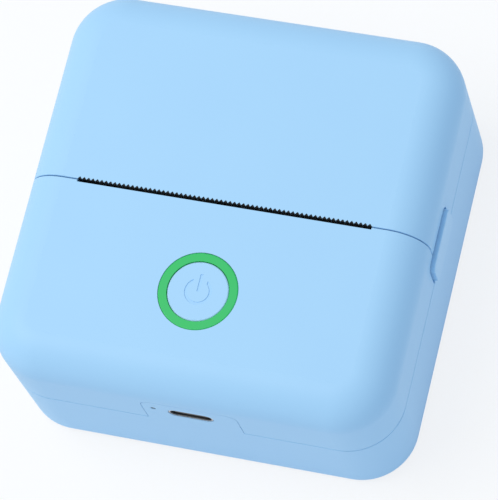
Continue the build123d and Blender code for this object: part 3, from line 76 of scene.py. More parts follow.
def makeFinish(name, look):
    # what all finishes share: a slow drift of colour, uneven gloss and a fine relief
    material = bpy.data.materials.new(name)
    material.use_nodes = True
    tree = material.node_tree
    tree.nodes.clear()
    shader = addNode(tree, "ShaderNodeBsdfPrincipled", look.get("shader"))
    addNode(tree, "ShaderNodeOutputMaterial", None, {"Surface": shader.outputs[0]})
    place = addNode(tree, "ShaderNodeTexCoord").outputs["Object"]
    stretch = addNode(tree, "ShaderNodeMapping", {"Scale": look.get("stretch", (1, 1, 1))}, {"Vector": place})
    drift = addNode(
        tree, "ShaderNodeTexNoise", {"Scale": 1 / (look["driftSize"] * mm), "Detail": 2.0}, {"Vector": place}
    )
    colour = addNode(
        tree,
        "ShaderNodeMix",
        {"data_type": "RGBA", 6: linear(look["colour"]), 7: linear(look["drift"])},
        {0: drift.outputs[0]},
    )
    grain = addNode(
        tree,
        "ShaderNodeTexNoise",
        {"Scale": 1 / (look["grainSize"] * mm), "Detail": 3.0, "Roughness": 0.6},
        {"Vector": stretch.outputs[0]},
    )
    gloss = addNode(
        tree,
        "ShaderNodeMapRange",
        {"To Min": look["rough"] - look["roughSpread"], "To Max": look["rough"] + look["roughSpread"]},
        {"Value": grain.outputs[0]},
    )
    relief = addNode(
        tree,
        "ShaderNodeBump",
        {"Strength": 1.0, "Distance": look["grainDepth"] * mm},
        {"Height": grain.outputs[0]},
    )
    tree.links.new(colour.outputs[2], shader.inputs["Base Color"])
    tree.links.new(gloss.outputs[0], shader.inputs["Roughness"])
    tree.links.new(relief.outputs[0], shader.inputs["Normal"])
    return {
        "material": material,
        "tree": tree,
        "shader": shader,
        "place": place,
        "colour": colour.outputs[2],
        "relief": relief,
    }


def overlay(finish, mask, hexText):
    # paints a second colour where the mask is 1
    mixed = addNode(
        finish["tree"],
        "ShaderNodeMix",
        {"data_type": "RGBA", 7: linear(hexText)},
        {0: mask, 6: finish["colour"]},
    )
    finish["colour"] = mixed.outputs[2]
    finish["tree"].links.new(mixed.outputs[2], finish["shader"].inputs["Base Color"])


def maths(tree, operation, first, second=None):
    # one Math node; each of its inputs is a number or a socket
    node = addNode(tree, "ShaderNodeMath", {"operation": operation})
    for index, value in enumerate((first, second)):
        if isinstance(value, bpy.types.NodeSocket):
            tree.links.new(value, node.inputs[index])
        elif value is not None:
            node.inputs[index].default_value = value
    return node.outputs[0]


def raiseSurface(finish, height, depth):
    # a coarser relief under the fine one
    lower = addNode(
        finish["tree"], "ShaderNodeBump", {"Strength": 1.0, "Distance": depth * mm}, {"Height": height}
    )
    finish["tree"].links.new(lower.outputs[0], finish["relief"].inputs["Normal"])


def axes(finish):
    # the object coordinates as three sockets, in metres
    split = addNode(finish["tree"], "ShaderNodeSeparateXYZ", None, {0: finish["place"]})
    return split.outputs


# Injection-moulded ABS, spark-eroded to a fine satin: an even soft sheen without hard
# glints. The real grain is near 0.1 mm and would not show, so it is drawn at 0.35 mm.
shellLook = {
    "colour": "#B0DDFD",
    "drift": "#ADDAFC",
    "driftSize": 18,
    "grainSize": 0.35,
    "grainDepth": 0.004,
    "rough": 0.46,
    "roughSpread": 0.05,
    "shader": {"IOR": 1.54, "Specular IOR Level": 0.2},
}
shellAbs = makeFinish("satin ABS shell", shellLook)["material"]
# the same ABS from another tool, a touch smoother where thumbs press it
latchAbs = makeFinish("latch ABS", dict(shellLook, rough=0.42, colour="#B1DEFF", drift="#AFDCFD"))["material"]
capAbs = makeFinish("button cap ABS", dict(shellLook, rough=0.38, grainDepth=0.002))["material"]

# Green-tinted diffusing polycarbonate lit from below: a smooth even glow
ringLook = {
    "colour": "#38C566",
    "drift": "#40C074",
    "driftSize": 3.5,
    "grainSize": 0.3,
    "grainDepth": 0.001,
    "rough": 0.3,
    "roughSpread": 0.03,
    "shader": {
        "IOR": 1.585,
        "Specular IOR Level": 0.15,
        "Emission Color": linear("#37C863"),
        "Emission Strength": 0.05,
    },
}
ringPolycarbonate = makeFinish("lit green polycarbonate", ringLook)["material"]

# Smoked acrylic light pipe: unlit, its polished end reads as a dark dot
pipeAcrylic = makeFinish(
    "light pipe acrylic",
    {
        "colour": "#3E5261",
        "drift": "#364957",
        "driftSize": 1.5,
        "grainSize": 0.2,
        "grainDepth": 0.0005,
        "rough": 0.12,
        "roughSpread": 0.03,
        "shader": {"IOR": 1.49, "Transmission Weight": 0.2},
    },
)["material"]


def footFinish():
    # grey thermoplastic elastomer: dull, a fine leathery skin, and moulded rings that grip
    finish = makeFinish(
        "grey elastomer",
        {
            "colour": "#5A5E64",
            "drift": "#51555B",
            "driftSize": 2.5,
            "grainSize": 0.25,
            "grainDepth": 0.02,
            "rough": 0.82,
            "roughSpread": 0.08,
            "shader": {"IOR": 1.5, "Specular IOR Level": 0.3},
        },
    )
    tree = finish["tree"]
    sizes = {"footX": 33.5, "footY": 31.5, "ringPitch": 0.9, "ringHeight": 0.12}
    x, y = list(axes(finish))[:2]
    fromX = maths(tree, "SUBTRACT", maths(tree, "ABSOLUTE", x), sizes["footX"] * mm)
    fromY = maths(tree, "SUBTRACT", maths(tree, "ABSOLUTE", y), sizes["footY"] * mm)
    squares = maths(tree, "ADD", maths(tree, "MULTIPLY", fromX, fromX), maths(tree, "MULTIPLY", fromY, fromY))
    radius = maths(tree, "SQRT", squares)
    waves = maths(tree, "PINGPONG", radius, sizes["ringPitch"] / 2 * mm)
    height = maths(tree, "MULTIPLY", waves, 2 / (sizes["ringPitch"] * mm))
    raiseSurface(finish, height, sizes["ringHeight"])
    return finish["material"]


# Black silicone roller, ground true on its shaft: faint turned lines round it
rollerSilicone = makeFinish(
    "ground silicone",
    {
        "colour": "#17181A",
        "drift": "#1E2022",
        "driftSize": 6,
        "stretch": (6, 0.4, 0.4),
        "grainSize": 0.5,
        "grainDepth": 0.008,
        "rough": 0.62,
        "roughSpread": 0.1,
        "shader": {"IOR": 1.43, "Specular IOR Level": 0.35},
    },
)["material"]

# Glass-filled polyamide of the frames: dark, dry, with flow marks
framePolyamide = makeFinish(
    "glass-filled polyamide",
    {
        "colour": "#2B2D30",
        "drift": "#36393C",
        "driftSize": 7,
        "grainSize": 0.3,
        "grainDepth": 0.012,
        "rough": 0.6,
        "roughSpread": 0.12,
        "shader": {"IOR": 1.53},
    },
)["material"]

# Natural acetal gears: milky white, slightly waxy, with traces of grease
gearAcetal = makeFinish(
    "natural acetal",
    {
        "colour": "#EEEBDF",
        "drift": "#E2DECF",
        "driftSize": 3,
        "grainSize": 0.4,
        "grainDepth": 0.004,
        "rough": 0.34,
        "roughSpread": 0.09,
        "shader": {"IOR": 1.48, "Subsurface Weight": 0.15, "Subsurface Scale": 0.0008},
    },
)["material"]


def metalFinish(name, colour, drift, rough, stretch, grainSize=0.3, grainDepth=0.003, driftSize=4):
    # a bare metal: full metallic, with its working marks drawn out along one direction
    return makeFinish(
        name,
        {
            "colour": colour,
            "drift": drift,
            "driftSize": driftSize,
            "stretch": stretch,
            "grainSize": grainSize,
            "grainDepth": grainDepth,
            "rough": rough,
            "roughSpread": min(rough, 0.3) * 0.35,
            "shader": {"Metallic": 1.0},
        },
    )["material"]


# free-cutting brass, turned: warm yellow with fine rings
pinionBrass = metalFinish("turned brass", "#D6B36A", "#C79F55", 0.28, (5, 0.6, 0.6))
# deep-drawn zinc-plated steel can: pale grey, softly streaked
canSteel = metalFinish("zinc-plated can steel", "#B9BABC", "#A9AAAD", 0.36, (0.5, 3, 3), 0.5, 0.006, 5)
# ground shaft steel: bright, nearly a mirror, with circular grinding
shaftSteel = metalFinish("ground shaft steel", "#CFCFD1", "#C3C4C6", 0.17, (6, 0.5, 0.5))
# nickel-plated screws: slightly yellow grey, with handling scuffs
screwNickel = metalFinish("nickel-plated steel", "#B7B3AB", "#A39F97", 0.3, (1, 1, 1), 0.35, 0.006, 1.2)
# drawn music wire: bright grey with draw lines
springWire = metalFinish("drawn music wire", "#BDBEC0", "#A6A7AA", 0.22, (1, 4, 1), 0.2, 0.002, 2)
# extruded aluminium plate of the print head: pale, with lines along its length
headAluminium = metalFinish("extruded aluminium", "#C9CBCE", "#BCBEC2", 0.33, (0.15, 3, 3), 0.35, 0.005, 8)
# deep-drawn stainless shells of the sockets, cans and small switches
portStainless = metalFinish("drawn stainless", "#C4C5C8", "#B4B5B9", 0.3, (2, 0.4, 2), 0.3, 0.003, 2)
moduleCan = metalFinish("tinned shield can", "#BDBEC0", "#B1B2B4", 0.38, (1, 1, 1), 0.5, 0.004, 3)

# Glossy dark cover of the head's driver chips, a black epoxy cast
coverEpoxy = makeFinish(
    "cast black epoxy",
    {
        "colour": "#141517",
        "drift": "#1C1D20",
        "driftSize": 5,
        "grainSize": 1.2,
        "grainDepth": 0.02,
        "rough": 0.22,
        "roughSpread": 0.06,
        "shader": {"IOR": 1.55},
    },
)["material"]

# Moulded chip resin: matt near-black with fine sparkle of silica
chipResin = makeFinish(
    "moulded chip resin",
    {
        "colour": "#1D1E20",
        "drift": "#262729",
        "driftSize": 1.2,
        "grainSize": 0.12,
        "grainDepth": 0.006,
        "rough": 0.55,
        "roughSpread": 0.1,
        "shader": {"IOR": 1.55},
    },
)["material"]

# Liquid-crystal polymer of the connectors: ivory, dry, with glass whorls
connectorPolymer = makeFinish(
    "ivory connector polymer",
    {
        "colour": "#E8E4D4",
        "drift": "#DCD7C4",
        "driftSize": 1.5,
        "grainSize": 0.2,
        "grainDepth": 0.006,
        "rough": 0.5,
        "roughSpread": 0.1,
        "shader": {"IOR": 1.6},
    },
)["material"]
tonguePolymer = makeFinish(
    "black connector polymer",
    {
        "colour": "#191A1B",
        "drift": "#222325",
        "driftSize": 1.5,
        "grainSize": 0.2,
        "grainDepth": 0.006,
        "rough": 0.48,
        "roughSpread": 0.1,
        "shader": {"IOR": 1.6},
    },
)["material"]


def leadFinish(name, colour, drift):
    # extruded PVC insulation: smooth, semi-gloss, faintly ribbed by the die
    return makeFinish(
        name,
        {
            "colour": colour,
            "drift": drift,
            "driftSize": 2,
            "grainSize": 0.4,
            "grainDepth": 0.004,
            "rough": 0.36,
            "roughSpread": 0.06,
            "shader": {"IOR": 1.53},
        },
    )["material"]


leadRed = leadFinish("red lead PVC", "#C42420", "#B31F1C")
leadBlack = leadFinish("black lead PVC", "#1B1B1D", "#252528")

# Double-sided foam tape: soft white with open cells along its cut edge
tapeFoam = makeFinish(
    "white foam tape",
    {
        "colour": "#EDEDE8",
        "drift": "#E2E2DC",
        "driftSize": 3,
        "grainSize": 0.2,
        "grainDepth": 0.04,
        "rough": 0.85,
        "roughSpread": 0.08,
        "shader": {"IOR": 1.5, "Specular IOR Level": 0.25},
    },
)["material"]

# Cast resin of the lamps: pale, clear, over a yellow phosphor
lampResin = makeFinish(
    "lamp resin",
    {
        "colour": "#F3EFC9",
        "drift": "#E9E3A8",
        "driftSize": 0.8,
        "grainSize": 0.2,
        "grainDepth": 0.001,
        "rough": 0.18,
        "roughSpread": 0.04,
        "shader": {"IOR": 1.5},
    },
)["material"]
# hard-wearing black actuator of the push switch
plungerPolymer = makeFinish(
    "black actuator polymer",
    {
        "colour": "#1A1B1D",
        "drift": "#232427",
        "driftSize": 1.2,
        "grainSize": 0.15,
        "grainDepth": 0.003,
        "rough": 0.4,
        "roughSpread": 0.06,
        "shader": {"IOR": 1.5},
    },
)["material"]

# Black acetal under the lid's edge is painted shade: it darkens the slot between the lid's teeth; dense
# black, slightly waxy
notchShadeBlack = makeFinish(
    "black acetal painted notch shade",
    {
        "colour": "#0D1012",
        "drift": "#14181A",
        "driftSize": 3,
        "grainSize": 0.2,
        "grainDepth": 0.004,
        "rough": 0.5,
        "roughSpread": 0.06,
        "shader": {"IOR": 1.48, "Specular IOR Level": 0.25},
    },
)["material"]
# hard gold plating on the socket's contacts, and tin on the ends of chip parts
contactGold = metalFinish("hard gold plating", "#E5BC5E", "#D9AE4E", 0.24, (1, 1, 1), 0.1, 0.001, 1)
endTin = metalFinish("matt tin plating", "#C3C4C4", "#B3B4B5", 0.42, (1, 1, 1), 0.12, 0.004, 0.8)
# fired ceramic body of the chip capacitors: tan, dry
capacitorCeramic = makeFinish(
    "fired capacitor ceramic",
    {
        "colour": "#8E6B4A",
        "drift": "#7F5E40",
        "driftSize": 0.8,
        "grainSize": 0.12,
        "grainDepth": 0.004,
        "rough": 0.55,
        "roughSpread": 0.08,
        "shader": {"IOR": 1.6},
    },
)["material"]


def boardFinish(name, seedShift):
    # green solder mask over etched copper: runs of tracks stand out as lighter, raised lines
    finish = makeFinish(
        name,
        {
            "colour": "#14583A",
            "drift": "#175F3F",
            "driftSize": 6,
            "grainSize": 0.25,
            "grainDepth": 0.003,
            "rough": 0.34,
            "roughSpread": 0.06,
            "shader": {"IOR": 1.55},
        },
    )
    tree = finish["tree"]
    sizes = {"patch": 4.8, "pitch": 0.8, "track": 0.3, "trackHeight": 0.03, "bareShare": 0.35, "seed": 3.0}
    moved = addNode(
        tree, "ShaderNodeVectorMath", {"operation": "ADD", 1: (seedShift, seedShift, 0)}, {0: finish["place"]}
    )
    cell = addNode(
        tree,
        "ShaderNodeVectorMath",
        {"operation": "SNAP", 1: (sizes["patch"] * mm,) * 3},
        {0: moved.outputs[0]},
    )
    chance = addNode(tree, "ShaderNodeTexWhiteNoise", None, {"Vector": cell.outputs[0]})
    split = addNode(tree, "ShaderNodeSeparateXYZ", None, {0: moved.outputs[0]}).outputs
    turned = maths(tree, "GREATER_THAN", chance.outputs["Value"], 0.5)
    across = addNode(tree, "ShaderNodeMix", None, {0: turned, 2: split[0], 3: split[1]}).outputs[0]
    steps = maths(tree, "PINGPONG", across, sizes["pitch"] / 2 * mm)
    track = maths(tree, "LESS_THAN", steps, sizes["track"] / 2 * mm)
    lot = addNode(
        tree,
        "ShaderNodeTexWhiteNoise",
        {"noise_dimensions": "4D", "W": sizes["seed"]},
        {"Vector": cell.outputs[0]},
    )
    wanted = maths(tree, "GREATER_THAN", lot.outputs["Value"], sizes["bareShare"])
    mask = maths(tree, "MULTIPLY", track, wanted)
    overlay(finish, mask, "#2F7F57")
    raiseSurface(finish, mask, sizes["trackHeight"])
    return finish["material"]


mainLaminate = boardFinish("main board laminate", 0.011)
buttonLaminate = boardFinish("button board laminate", 0.037)


def headCeramic():
    # glazed alumina of the heater strip: a brown heater line where the roller presses, and
    # fine gold leads below it
    finish = makeFinish(
        "glazed alumina",
        {
            "colour": "#E9E6DC",
            "drift": "#E1DDD1",
            "driftSize": 5,
            "grainSize": 0.4,
            "grainDepth": 0.001,
            "rough": 0.16,
            "roughSpread": 0.05,
            "shader": {"IOR": 1.62},
        },
    )
    tree = finish["tree"]
    sizes = {
        "lineHeight": 31.62,
        "lineWidth": 0.7,
        "lineRise": 0.03,
        "leadPitch": 0.5,
        "leadHalfWidth": 0.13,
        "leadFoot": 27.4,
        "leadGap": 0.6,
    }
    x, z = axes(finish)[0], axes(finish)[2]
    fromLine = maths(tree, "ABSOLUTE", maths(tree, "SUBTRACT", z, sizes["lineHeight"] * mm))
    line = maths(tree, "LESS_THAN", fromLine, sizes["lineWidth"] / 2 * mm)
    steps = maths(tree, "PINGPONG", x, sizes["leadPitch"] / 2 * mm)
    stripes = maths(tree, "LESS_THAN", steps, sizes["leadHalfWidth"] * mm)
    below = maths(tree, "LESS_THAN", z, (sizes["lineHeight"] - sizes["leadGap"]) * mm)
    above = maths(tree, "GREATER_THAN", z, sizes["leadFoot"] * mm)
    leads = maths(tree, "MULTIPLY", maths(tree, "MULTIPLY", stripes, below), above)
    overlay(finish, leads, "#C9A24B")
    overlay(finish, line, "#4A2F20")
    raiseSurface(finish, line, sizes["lineRise"])
    return finish["material"]


def cableFilm():
    # polyimide film over flat copper conductors, seen as darker amber stripes between them
    finish = makeFinish(
        "polyimide flat cable",
        {
            "colour": "#D08A2C",
            "drift": "#C67F25",
            "driftSize": 4,
            "grainSize": 0.5,
            "grainDepth": 0.003,
            "rough": 0.25,
            "roughSpread": 0.06,
            "shader": {"IOR": 1.65},
        },
    )
    tree = finish["tree"]
    sizes = {"halfPitch": 0.4, "halfWidth": 0.14, "sink": -0.02}
    steps = maths(tree, "PINGPONG", axes(finish)[0], sizes["halfPitch"] * mm)
    stripes = maths(tree, "LESS_THAN", steps, sizes["halfWidth"] * mm)
    overlay(finish, stripes, "#8E5312")
    raiseSurface(finish, stripes, sizes["sink"])
    return finish["material"]


def batteryFilm():
    # aluminised pouch film, heat-sealed: pale grey, softly creased, with an amber tape
    # over its folded terminal end
    finish = makeFinish(
        "aluminised pouch film",
        {
            "colour": "#B9BDC4",
            "drift": "#AEB2BA",
            "driftSize": 9,
            "grainSize": 0.3,
            "grainDepth": 0.002,
            "rough": 0.3,
            "roughSpread": 0.08,
            "shader": {"Metallic": 0.7},
        },
    )
    tree = finish["tree"]
    sizes = {"tape": 4.5, "crease": 7, "creaseBend": 0.6, "creaseDepth": 0.35}
    high = boxOf("battery_pack")[1]
    taped = maths(tree, "GREATER_THAN", axes(finish)[1], (high[1] - sizes["tape"]) * mm)
    overlay(finish, taped, "#C9912E")
    creases = addNode(
        tree,
        "ShaderNodeTexNoise",
        {"Scale": 1 / (sizes["crease"] * mm), "Detail": 2.0, "Distortion": sizes["creaseBend"]},
        {"Vector": finish["place"]},
    )
    raiseSurface(finish, creases.outputs[0], sizes["creaseDepth"])
    return finish["material"]


finishes = {
    shellAbs: ["lower_shell", "front_cover", "lid"],
    latchAbs: ["latch_button"],
    capAbs: ["power_button"],
    ringPolycarbonate: ["light_ring"],
    pipeAcrylic: ["light_pipe"],
    footFinish(): ["rubber_feet"],
    rollerSilicone: ["platen_roller"],
    framePolyamide: ["inner_frame", "lid_frame"],
    gearAcetal: ["platen_gear", "drive_gear", "platen_bushes"],
    pinionBrass: ["motor_pinion"],
    canSteel: ["motor_can"],
    shaftSteel: ["hinge_pins", "platen_shaft", "drive_gear_axle", "motor_shaft"],
    screwNickel: [
        "case_screws",
        "frame_screws",
        "lid_frame_screws",
        "motor_screws",
        "board_screws",
        "button_board_screws",
    ],
    springWire: ["head_springs", "latch_springs"],
    headAluminium: ["print_head_plate"],
    headCeramic(): ["heater_strip"],
    coverEpoxy: ["driver_cover"],
    mainLaminate: ["main_board"],
    buttonLaminate: ["button_board"],
    portStainless: ["usb_c_port", "power_switch"],
    moduleCan: ["radio_module"],
    chipResin: ["processor_chip", "driver_chips", "paper_sensor"],
    tonguePolymer: ["usb_tongue", "lid_switch"],
    connectorPolymer: ["head_connector", "motor_connector", "battery_connector", "board_link_connector"],
    cableFilm(): ["head_flex_cable", "motor_flex_cable"],
    leadRed: ["battery_lead_red"],
    leadBlack: ["battery_lead_black"],
    batteryFilm(): ["battery_pack"],
    tapeFoam: ["battery_tape"],
    plungerPolymer: ["switch_plunger"],
    lampResin: ["ring_leds", "charge_led"],
}
for finish, members in finishes.items():
    for member in members:
        for place in nodes[member].material_slots:
            place.material = finish
unfinished = sorted(set(nodes) - {member for members in finishes.values() for member in members})
print("stage 2: finishes made, nodes without one:", unfinished)


def lathe(profile, segments):
    # a closed turned form from (radius, height) pairs in mm; both ends lie on the axis
    form = bmesh.new()
    rings = []
    for radius, height in profile:
        if radius == 0:
            rings.append([form.verts.new((0, 0, height * mm))])
            continue
        turns = [2 * math.pi * step / segments for step in range(segments)]
        spots = [(radius * mm * math.cos(a), radius * mm * math.sin(a), height * mm) for a in turns]
        rings.append([form.verts.new(spot) for spot in spots])
    for lower, upper in zip(rings, rings[1:]):
        for step in range(segments):
            corners = [
                lower[step % len(lower)],
                lower[(step + 1) % len(lower)],
                upper[(step + 1) % len(upper)],
                upper[step % len(upper)],
            ]
            form.faces.new(sorted(set(corners), key=corners.index))
    bmesh.ops.recalc_face_normals(form, faces=form.faces)
    mesh = bpy.data.meshes.new("turned")
    form.to_mesh(mesh)
    form.free()
    return mesh


def prism(outline, low, high):
    # an upright prism over an outline in mm
    form = bmesh.new()
    foot = [form.verts.new((x * mm, y * mm, low * mm)) for x, y in outline]
    head = [form.verts.new((x * mm, y * mm, high * mm)) for x, y in outline]
    form.faces.new(foot[::-1])
    form.faces.new(head)
    for step in range(len(outline)):
        after = (step + 1) % len(outline)
        form.faces.new((foot[step], foot[after], head[after], head[step]))
    bmesh.ops.recalc_face_normals(form, faces=form.faces)
    mesh = bpy.data.meshes.new("prism")
    form.to_mesh(mesh)
    form.free()
    return mesh


def addObject(name, mesh):
    made = bpy.data.objects.new(name, mesh)
    bpy.context.scene.collection.objects.link(made)
    return made


def evaluated(source):
    # the mesh that an object's modifiers give
    bpy.context.view_layer.update()
    return bpy.data.meshes.new_from_object(source.evaluated_get(bpy.context.evaluated_depsgraph_get()))


def bevelled(mesh, width):
    # rounds a hard mesh's edges a little, as every moulded or cut piece has them
    source = addObject("toBevel", mesh)
    modifier = source.modifiers.new("softEdge", "BEVEL")
    modifier.width = width * mm
    modifier.segments = 2
    made = evaluated(source)
    bpy.data.objects.remove(source)
    return made


def copyTree():
    # Geometry Nodes: a copy of the shape on each spot, with its own small turn
    tree = bpy.data.node_groups.new("copiesOnSpots", "GeometryNodeTree")
    panel = tree.interface
    panel.new_socket("Spots", in_out="INPUT", socket_type="NodeSocketGeometry")
    panel.new_socket("Shape", in_out="INPUT", socket_type="NodeSocketObject")
    panel.new_socket("Finish", in_out="INPUT", socket_type="NodeSocketMaterial")
    panel.new_socket("Turn spread", in_out="INPUT", socket_type="NodeSocketFloat")
    panel.new_socket("Seed", in_out="INPUT", socket_type="NodeSocketInt")
    panel.new_socket("Copies", in_out="OUTPUT", socket_type="NodeSocketGeometry")
    start = addNode(tree, "NodeGroupInput").outputs
    shape = addNode(tree, "GeometryNodeObjectInfo", None, {"Object": start["Shape"]})
    least = addNode(tree, "ShaderNodeMath", {"operation": "MULTIPLY", 1: -1.0}, {0: start["Turn spread"]})
    turn = addNode(
        tree,
        "FunctionNodeRandomValue",
        {"data_type": "FLOAT"},
        {2: least.outputs[0], 3: start["Turn spread"], "Seed": start["Seed"]},
    )
    euler = addNode(tree, "ShaderNodeCombineXYZ", None, {2: turn.outputs[1]})
    put = addNode(
        tree,
        "GeometryNodeInstanceOnPoints",
        None,
        {"Points": start["Spots"], "Instance": shape.outputs["Geometry"], "Rotation": euler.outputs[0]},
    )
    real = addNode(tree, "GeometryNodeRealizeInstances", None, {0: put.outputs[0]})
    painted = addNode(
        tree, "GeometryNodeSetMaterial", None, {"Geometry": real.outputs[0], "Material": start["Finish"]}
    )
    addNode(tree, "NodeGroupOutput", None, {"Copies": painted.outputs[0]})
    return tree


copies = copyTree()
sockets = {item.name: item.identifier for item in copies.interface.items_tree if item.in_out == "INPUT"}


def repeatShape(name, shapeMesh, spots, material, body, turnSpread=0.0, seed=3):
    # bakes copies of one mesh at spots in mm into a plain mesh that rides on a body
    shape = addObject("shapeToCopy", shapeMesh)
    seeds = bpy.data.meshes.new("spots")
    seeds.from_pydata([Vector(spot) * mm for spot in spots], [], [])
    carrier = addObject("carrier", seeds)
    modifier = carrier.modifiers.new("copies", "NODES")
    modifier.node_group = copies
    modifier[sockets["Shape"]] = shape
    modifier[sockets["Finish"]] = material
    modifier[sockets["Turn spread"]] = turnSpread
    modifier[sockets["Seed"]] = seed
    mesh = evaluated(carrier)
    carrier.modifiers.remove(modifier)
    bpy.data.objects.remove(carrier)
    bpy.data.objects.remove(shape)
    mesh.name = name
    piece = addObject(name, mesh)
    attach(piece, body)
    return piece


def smoothByAngle(mesh, angle=35):
    # soft shading on turned sides, hard edges elsewhere
    mesh.shade_smooth()
    mesh.set_sharp_from_angle(angle=math.radians(angle))
    return mesh


def screwShape(radius, headRadius, headHeight, length):
    # a pan-head screw along Z, seat at 0 and head above it: rolled thread and cross recess
    look = {
        "pitch": 0.5,
        "core": 0.8,
        "plainEnd": 0.4,
        "tip": 0.5,
        "crown": 0.4,
        "sides": 20,
        "slot": 0.32,
        "slotReach": 0.62,
        "recess": 0.6,
        "taper": 0.45,
        "floorWidth": 0.6,
    }
    profile = [(0, headHeight)]
    for angle in (0.4, 0.8, 1.2):
        fall = look["crown"] * headHeight * (1 - math.cos(angle))
        profile.append((headRadius * math.sin(angle), headHeight - fall))
    profile += [(headRadius, headHeight * 0.5), (headRadius, 0), (radius * look["core"], 0)]
    steps = int((length - look["plainEnd"]) / (look["pitch"] / 2))
    for step in range(1, steps):
        profile.append((radius * (1 if step % 2 else look["core"]), -step * look["pitch"] / 2))
    profile += [(radius * look["tip"], -length), (0, -length)]
    blank = addObject("screwBlank", lathe(profile, look["sides"]))
    half, reach = look["slot"] * headRadius / 1.9, look["slotReach"] * headRadius
    floor, top = headHeight - look["recess"] * headHeight, headHeight + 0.2
    cross = bmesh.new()
    for quarter in (0, 1):
        corners = []
        for shrink, height in ((look["taper"], floor), (1, top)):
            for x, y in ((-reach, -half), (reach, -half), (reach, half), (-reach, half)):
                narrow = look["floorWidth"] if shrink < 1 else 1
                spot = Vector((x * shrink, y * narrow, height)) * mm
                corners.append(cross.verts.new(Matrix.Rotation(quarter * math.pi / 2, 3, "Z") @ spot))
        cross.faces.new(corners[3::-1])
        cross.faces.new(corners[4:])
        for step in range(4):
            after = (step + 1) % 4
            cross.faces.new((corners[step], corners[after], corners[4 + after], corners[4 + step]))
    bmesh.ops.recalc_face_normals(cross, faces=cross.faces)
    crossMesh = bpy.data.meshes.new("crossRecess")
    cross.to_mesh(crossMesh)
    cross.free()
    cutter = addObject("crossRecess", crossMesh)
    cut = blank.modifiers.new("recess", "BOOLEAN")
    cut.operation = "DIFFERENCE"
    cut.solver = "EXACT"
    cut.use_self = True
    cut.object = cutter
    mesh = evaluated(blank)
    bpy.data.objects.remove(blank)
    bpy.data.objects.remove(cutter)
    return smoothByAngle(mesh)


def makeScrews():
    # every screw set of the printer: one shape, turned to its direction and copied
    up, down = Matrix.Identity(4), Matrix.Rotation(math.pi, 4, "X")
    left = Matrix.Rotation(math.pi / 2, 4, "Y")
    look = {"turnSpread": 0.7, "seed": 5, "motorInset": 1.5, "motorHead": 0.8}
    motorLow, motorHigh = boxOf("motor_screws")
    inset, flangeX = look["motorInset"], motorHigh[0] - look["motorHead"]
    sets = {
        # node: radius, head radius, head height, length, direction of the head, body, spots
        "case_screws": (
            1.0, 1.9, 1.3, 15.0, down, "case", [(x, y, 2.7) for x in (-33.5, 33.5) for y in (-31.5, 31.5)]
        ),
        "frame_screws": (1.0, 1.9, 1.0, 4.5, up, "case", [(-33.3, 4.5, 8.0), (33.3, 4.5, 8.0)]),
        "lid_frame_screws": (
            1.0, 1.9, 1.0, 5.4, down, "lid", [(x, y, 29.804) for x in (-34.6, 34.6) for y in (14.5, 26.5)]
        ),
        "motor_screws": (
            0.8,
            1.5,
            0.8,
            2.0,
            left,
            "case",
            [
                (flangeX, motorHigh[1] - inset, motorLow[2] + inset),
                (flangeX, motorLow[1] + inset, motorHigh[2] - inset),
            ],
        ),
        "board_screws": (
            1.0, 1.9, 1.0, 4.0, up, "case", [(x, y, 24.9) for x in (-24.5, 24.5) for y in (-35.1, -17.1)]
        ),
        "button_board_screws": (
            1.0, 1.9, 1.0, 4.0, down, "case", [(-11.0, -27.85, 28.804), (10.0, -13.35, 28.804)]
        ),
    }
    for node, (radius, headRadius, headHeight, length, turn, body, spots) in sets.items():
        low, high = boxOf(node)
        mesh = screwShape(radius, headRadius, headHeight, length)
        mesh.transform(turn)
        spread = 0.0 if node == "motor_screws" else look["turnSpread"]
        parts = node.split("_")
        name = parts[0] + "".join(part.capitalize() for part in parts[1:])
        piece = repeatShape(name, mesh, spots, screwNickel, body, spread, look["seed"])
        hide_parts(node)
        corners = [vertex.co / mm for vertex in piece.data.vertices]
        reach = []
        for axis in range(3):
            along = [corner[axis] for corner in corners]
            reach.append(round(max(low[axis] - min(along), max(along) - high[axis], 0), 2))
        print("  screws", node, "outside the CAD box by", reach, "mm")


def makeNotchShadeBar():
    # the black bar under the lid's edge is painted shade for the dark slot: its points fill the notches
    # between the lid's teeth
    look = {
        "length": 58.9,
        "teeth": 66,
        "edge": -0.9,
        "depth": 0.5,
        "top": 39.12,
        "foot": 37.6,
        "gap": 0.012,
        "frontGap": 0.02,
        "frontTop": 38.27,
        "back": -0.3,
        "backTop": 38.0,
        "endGap": 0.1,
        "softEdge": 0.04,
    }
    pitch = look["length"] / look["teeth"]
    half = pitch / 2 - look["gap"]
    apex = look["edge"] + look["depth"] - 2 * look["gap"]
    base = look["edge"] + look["gap"]
    point = prism([(-half, base), (half, base), (0, apex)], look["foot"], look["top"])
    spots = [(-look["length"] / 2 + pitch * (number + 0.5), 0, 0) for number in range(look["teeth"])]
    repeatShape("tearBarPoints", point, spots, notchShadeBlack, "lid")
    # the bar behind the points is painted shade too, dark under the lid's edge
    front = look["edge"] + look["frontGap"]
    section = [
        (front, look["frontTop"]),
        (front, look["foot"]),
        (look["back"], look["foot"]),
        (look["back"], look["backTop"]),
    ]
    bar = prism(section, -look["length"] / 2 + look["endGap"], look["length"] / 2 - look["endGap"])
    # the prism stands on Z; its outline's axes become Y and Z, its height X
    bar.transform(Matrix(((0, 0, 1, 0), (1, 0, 0, 0), (0, 1, 0, 0), (0, 0, 0, 1))))
    bar = bevelled(bar, look["softEdge"])
    bar.materials.append(notchShadeBlack)
    piece = addObject("tearBar", bar)
    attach(piece, "lid")


def racetrack(halfWidth, halfHeight, steps=12):
    # the outline of a slot with round ends, anticlockwise
    points = []
    for side, start in ((1, -math.pi / 2), (-1, math.pi / 2)):
        for step in range(steps + 1):
            angle = start + math.pi * step / steps
            x = side * (halfWidth - halfHeight) + halfHeight * math.cos(angle)
            points.append((x, halfHeight * math.sin(angle)))
    return points


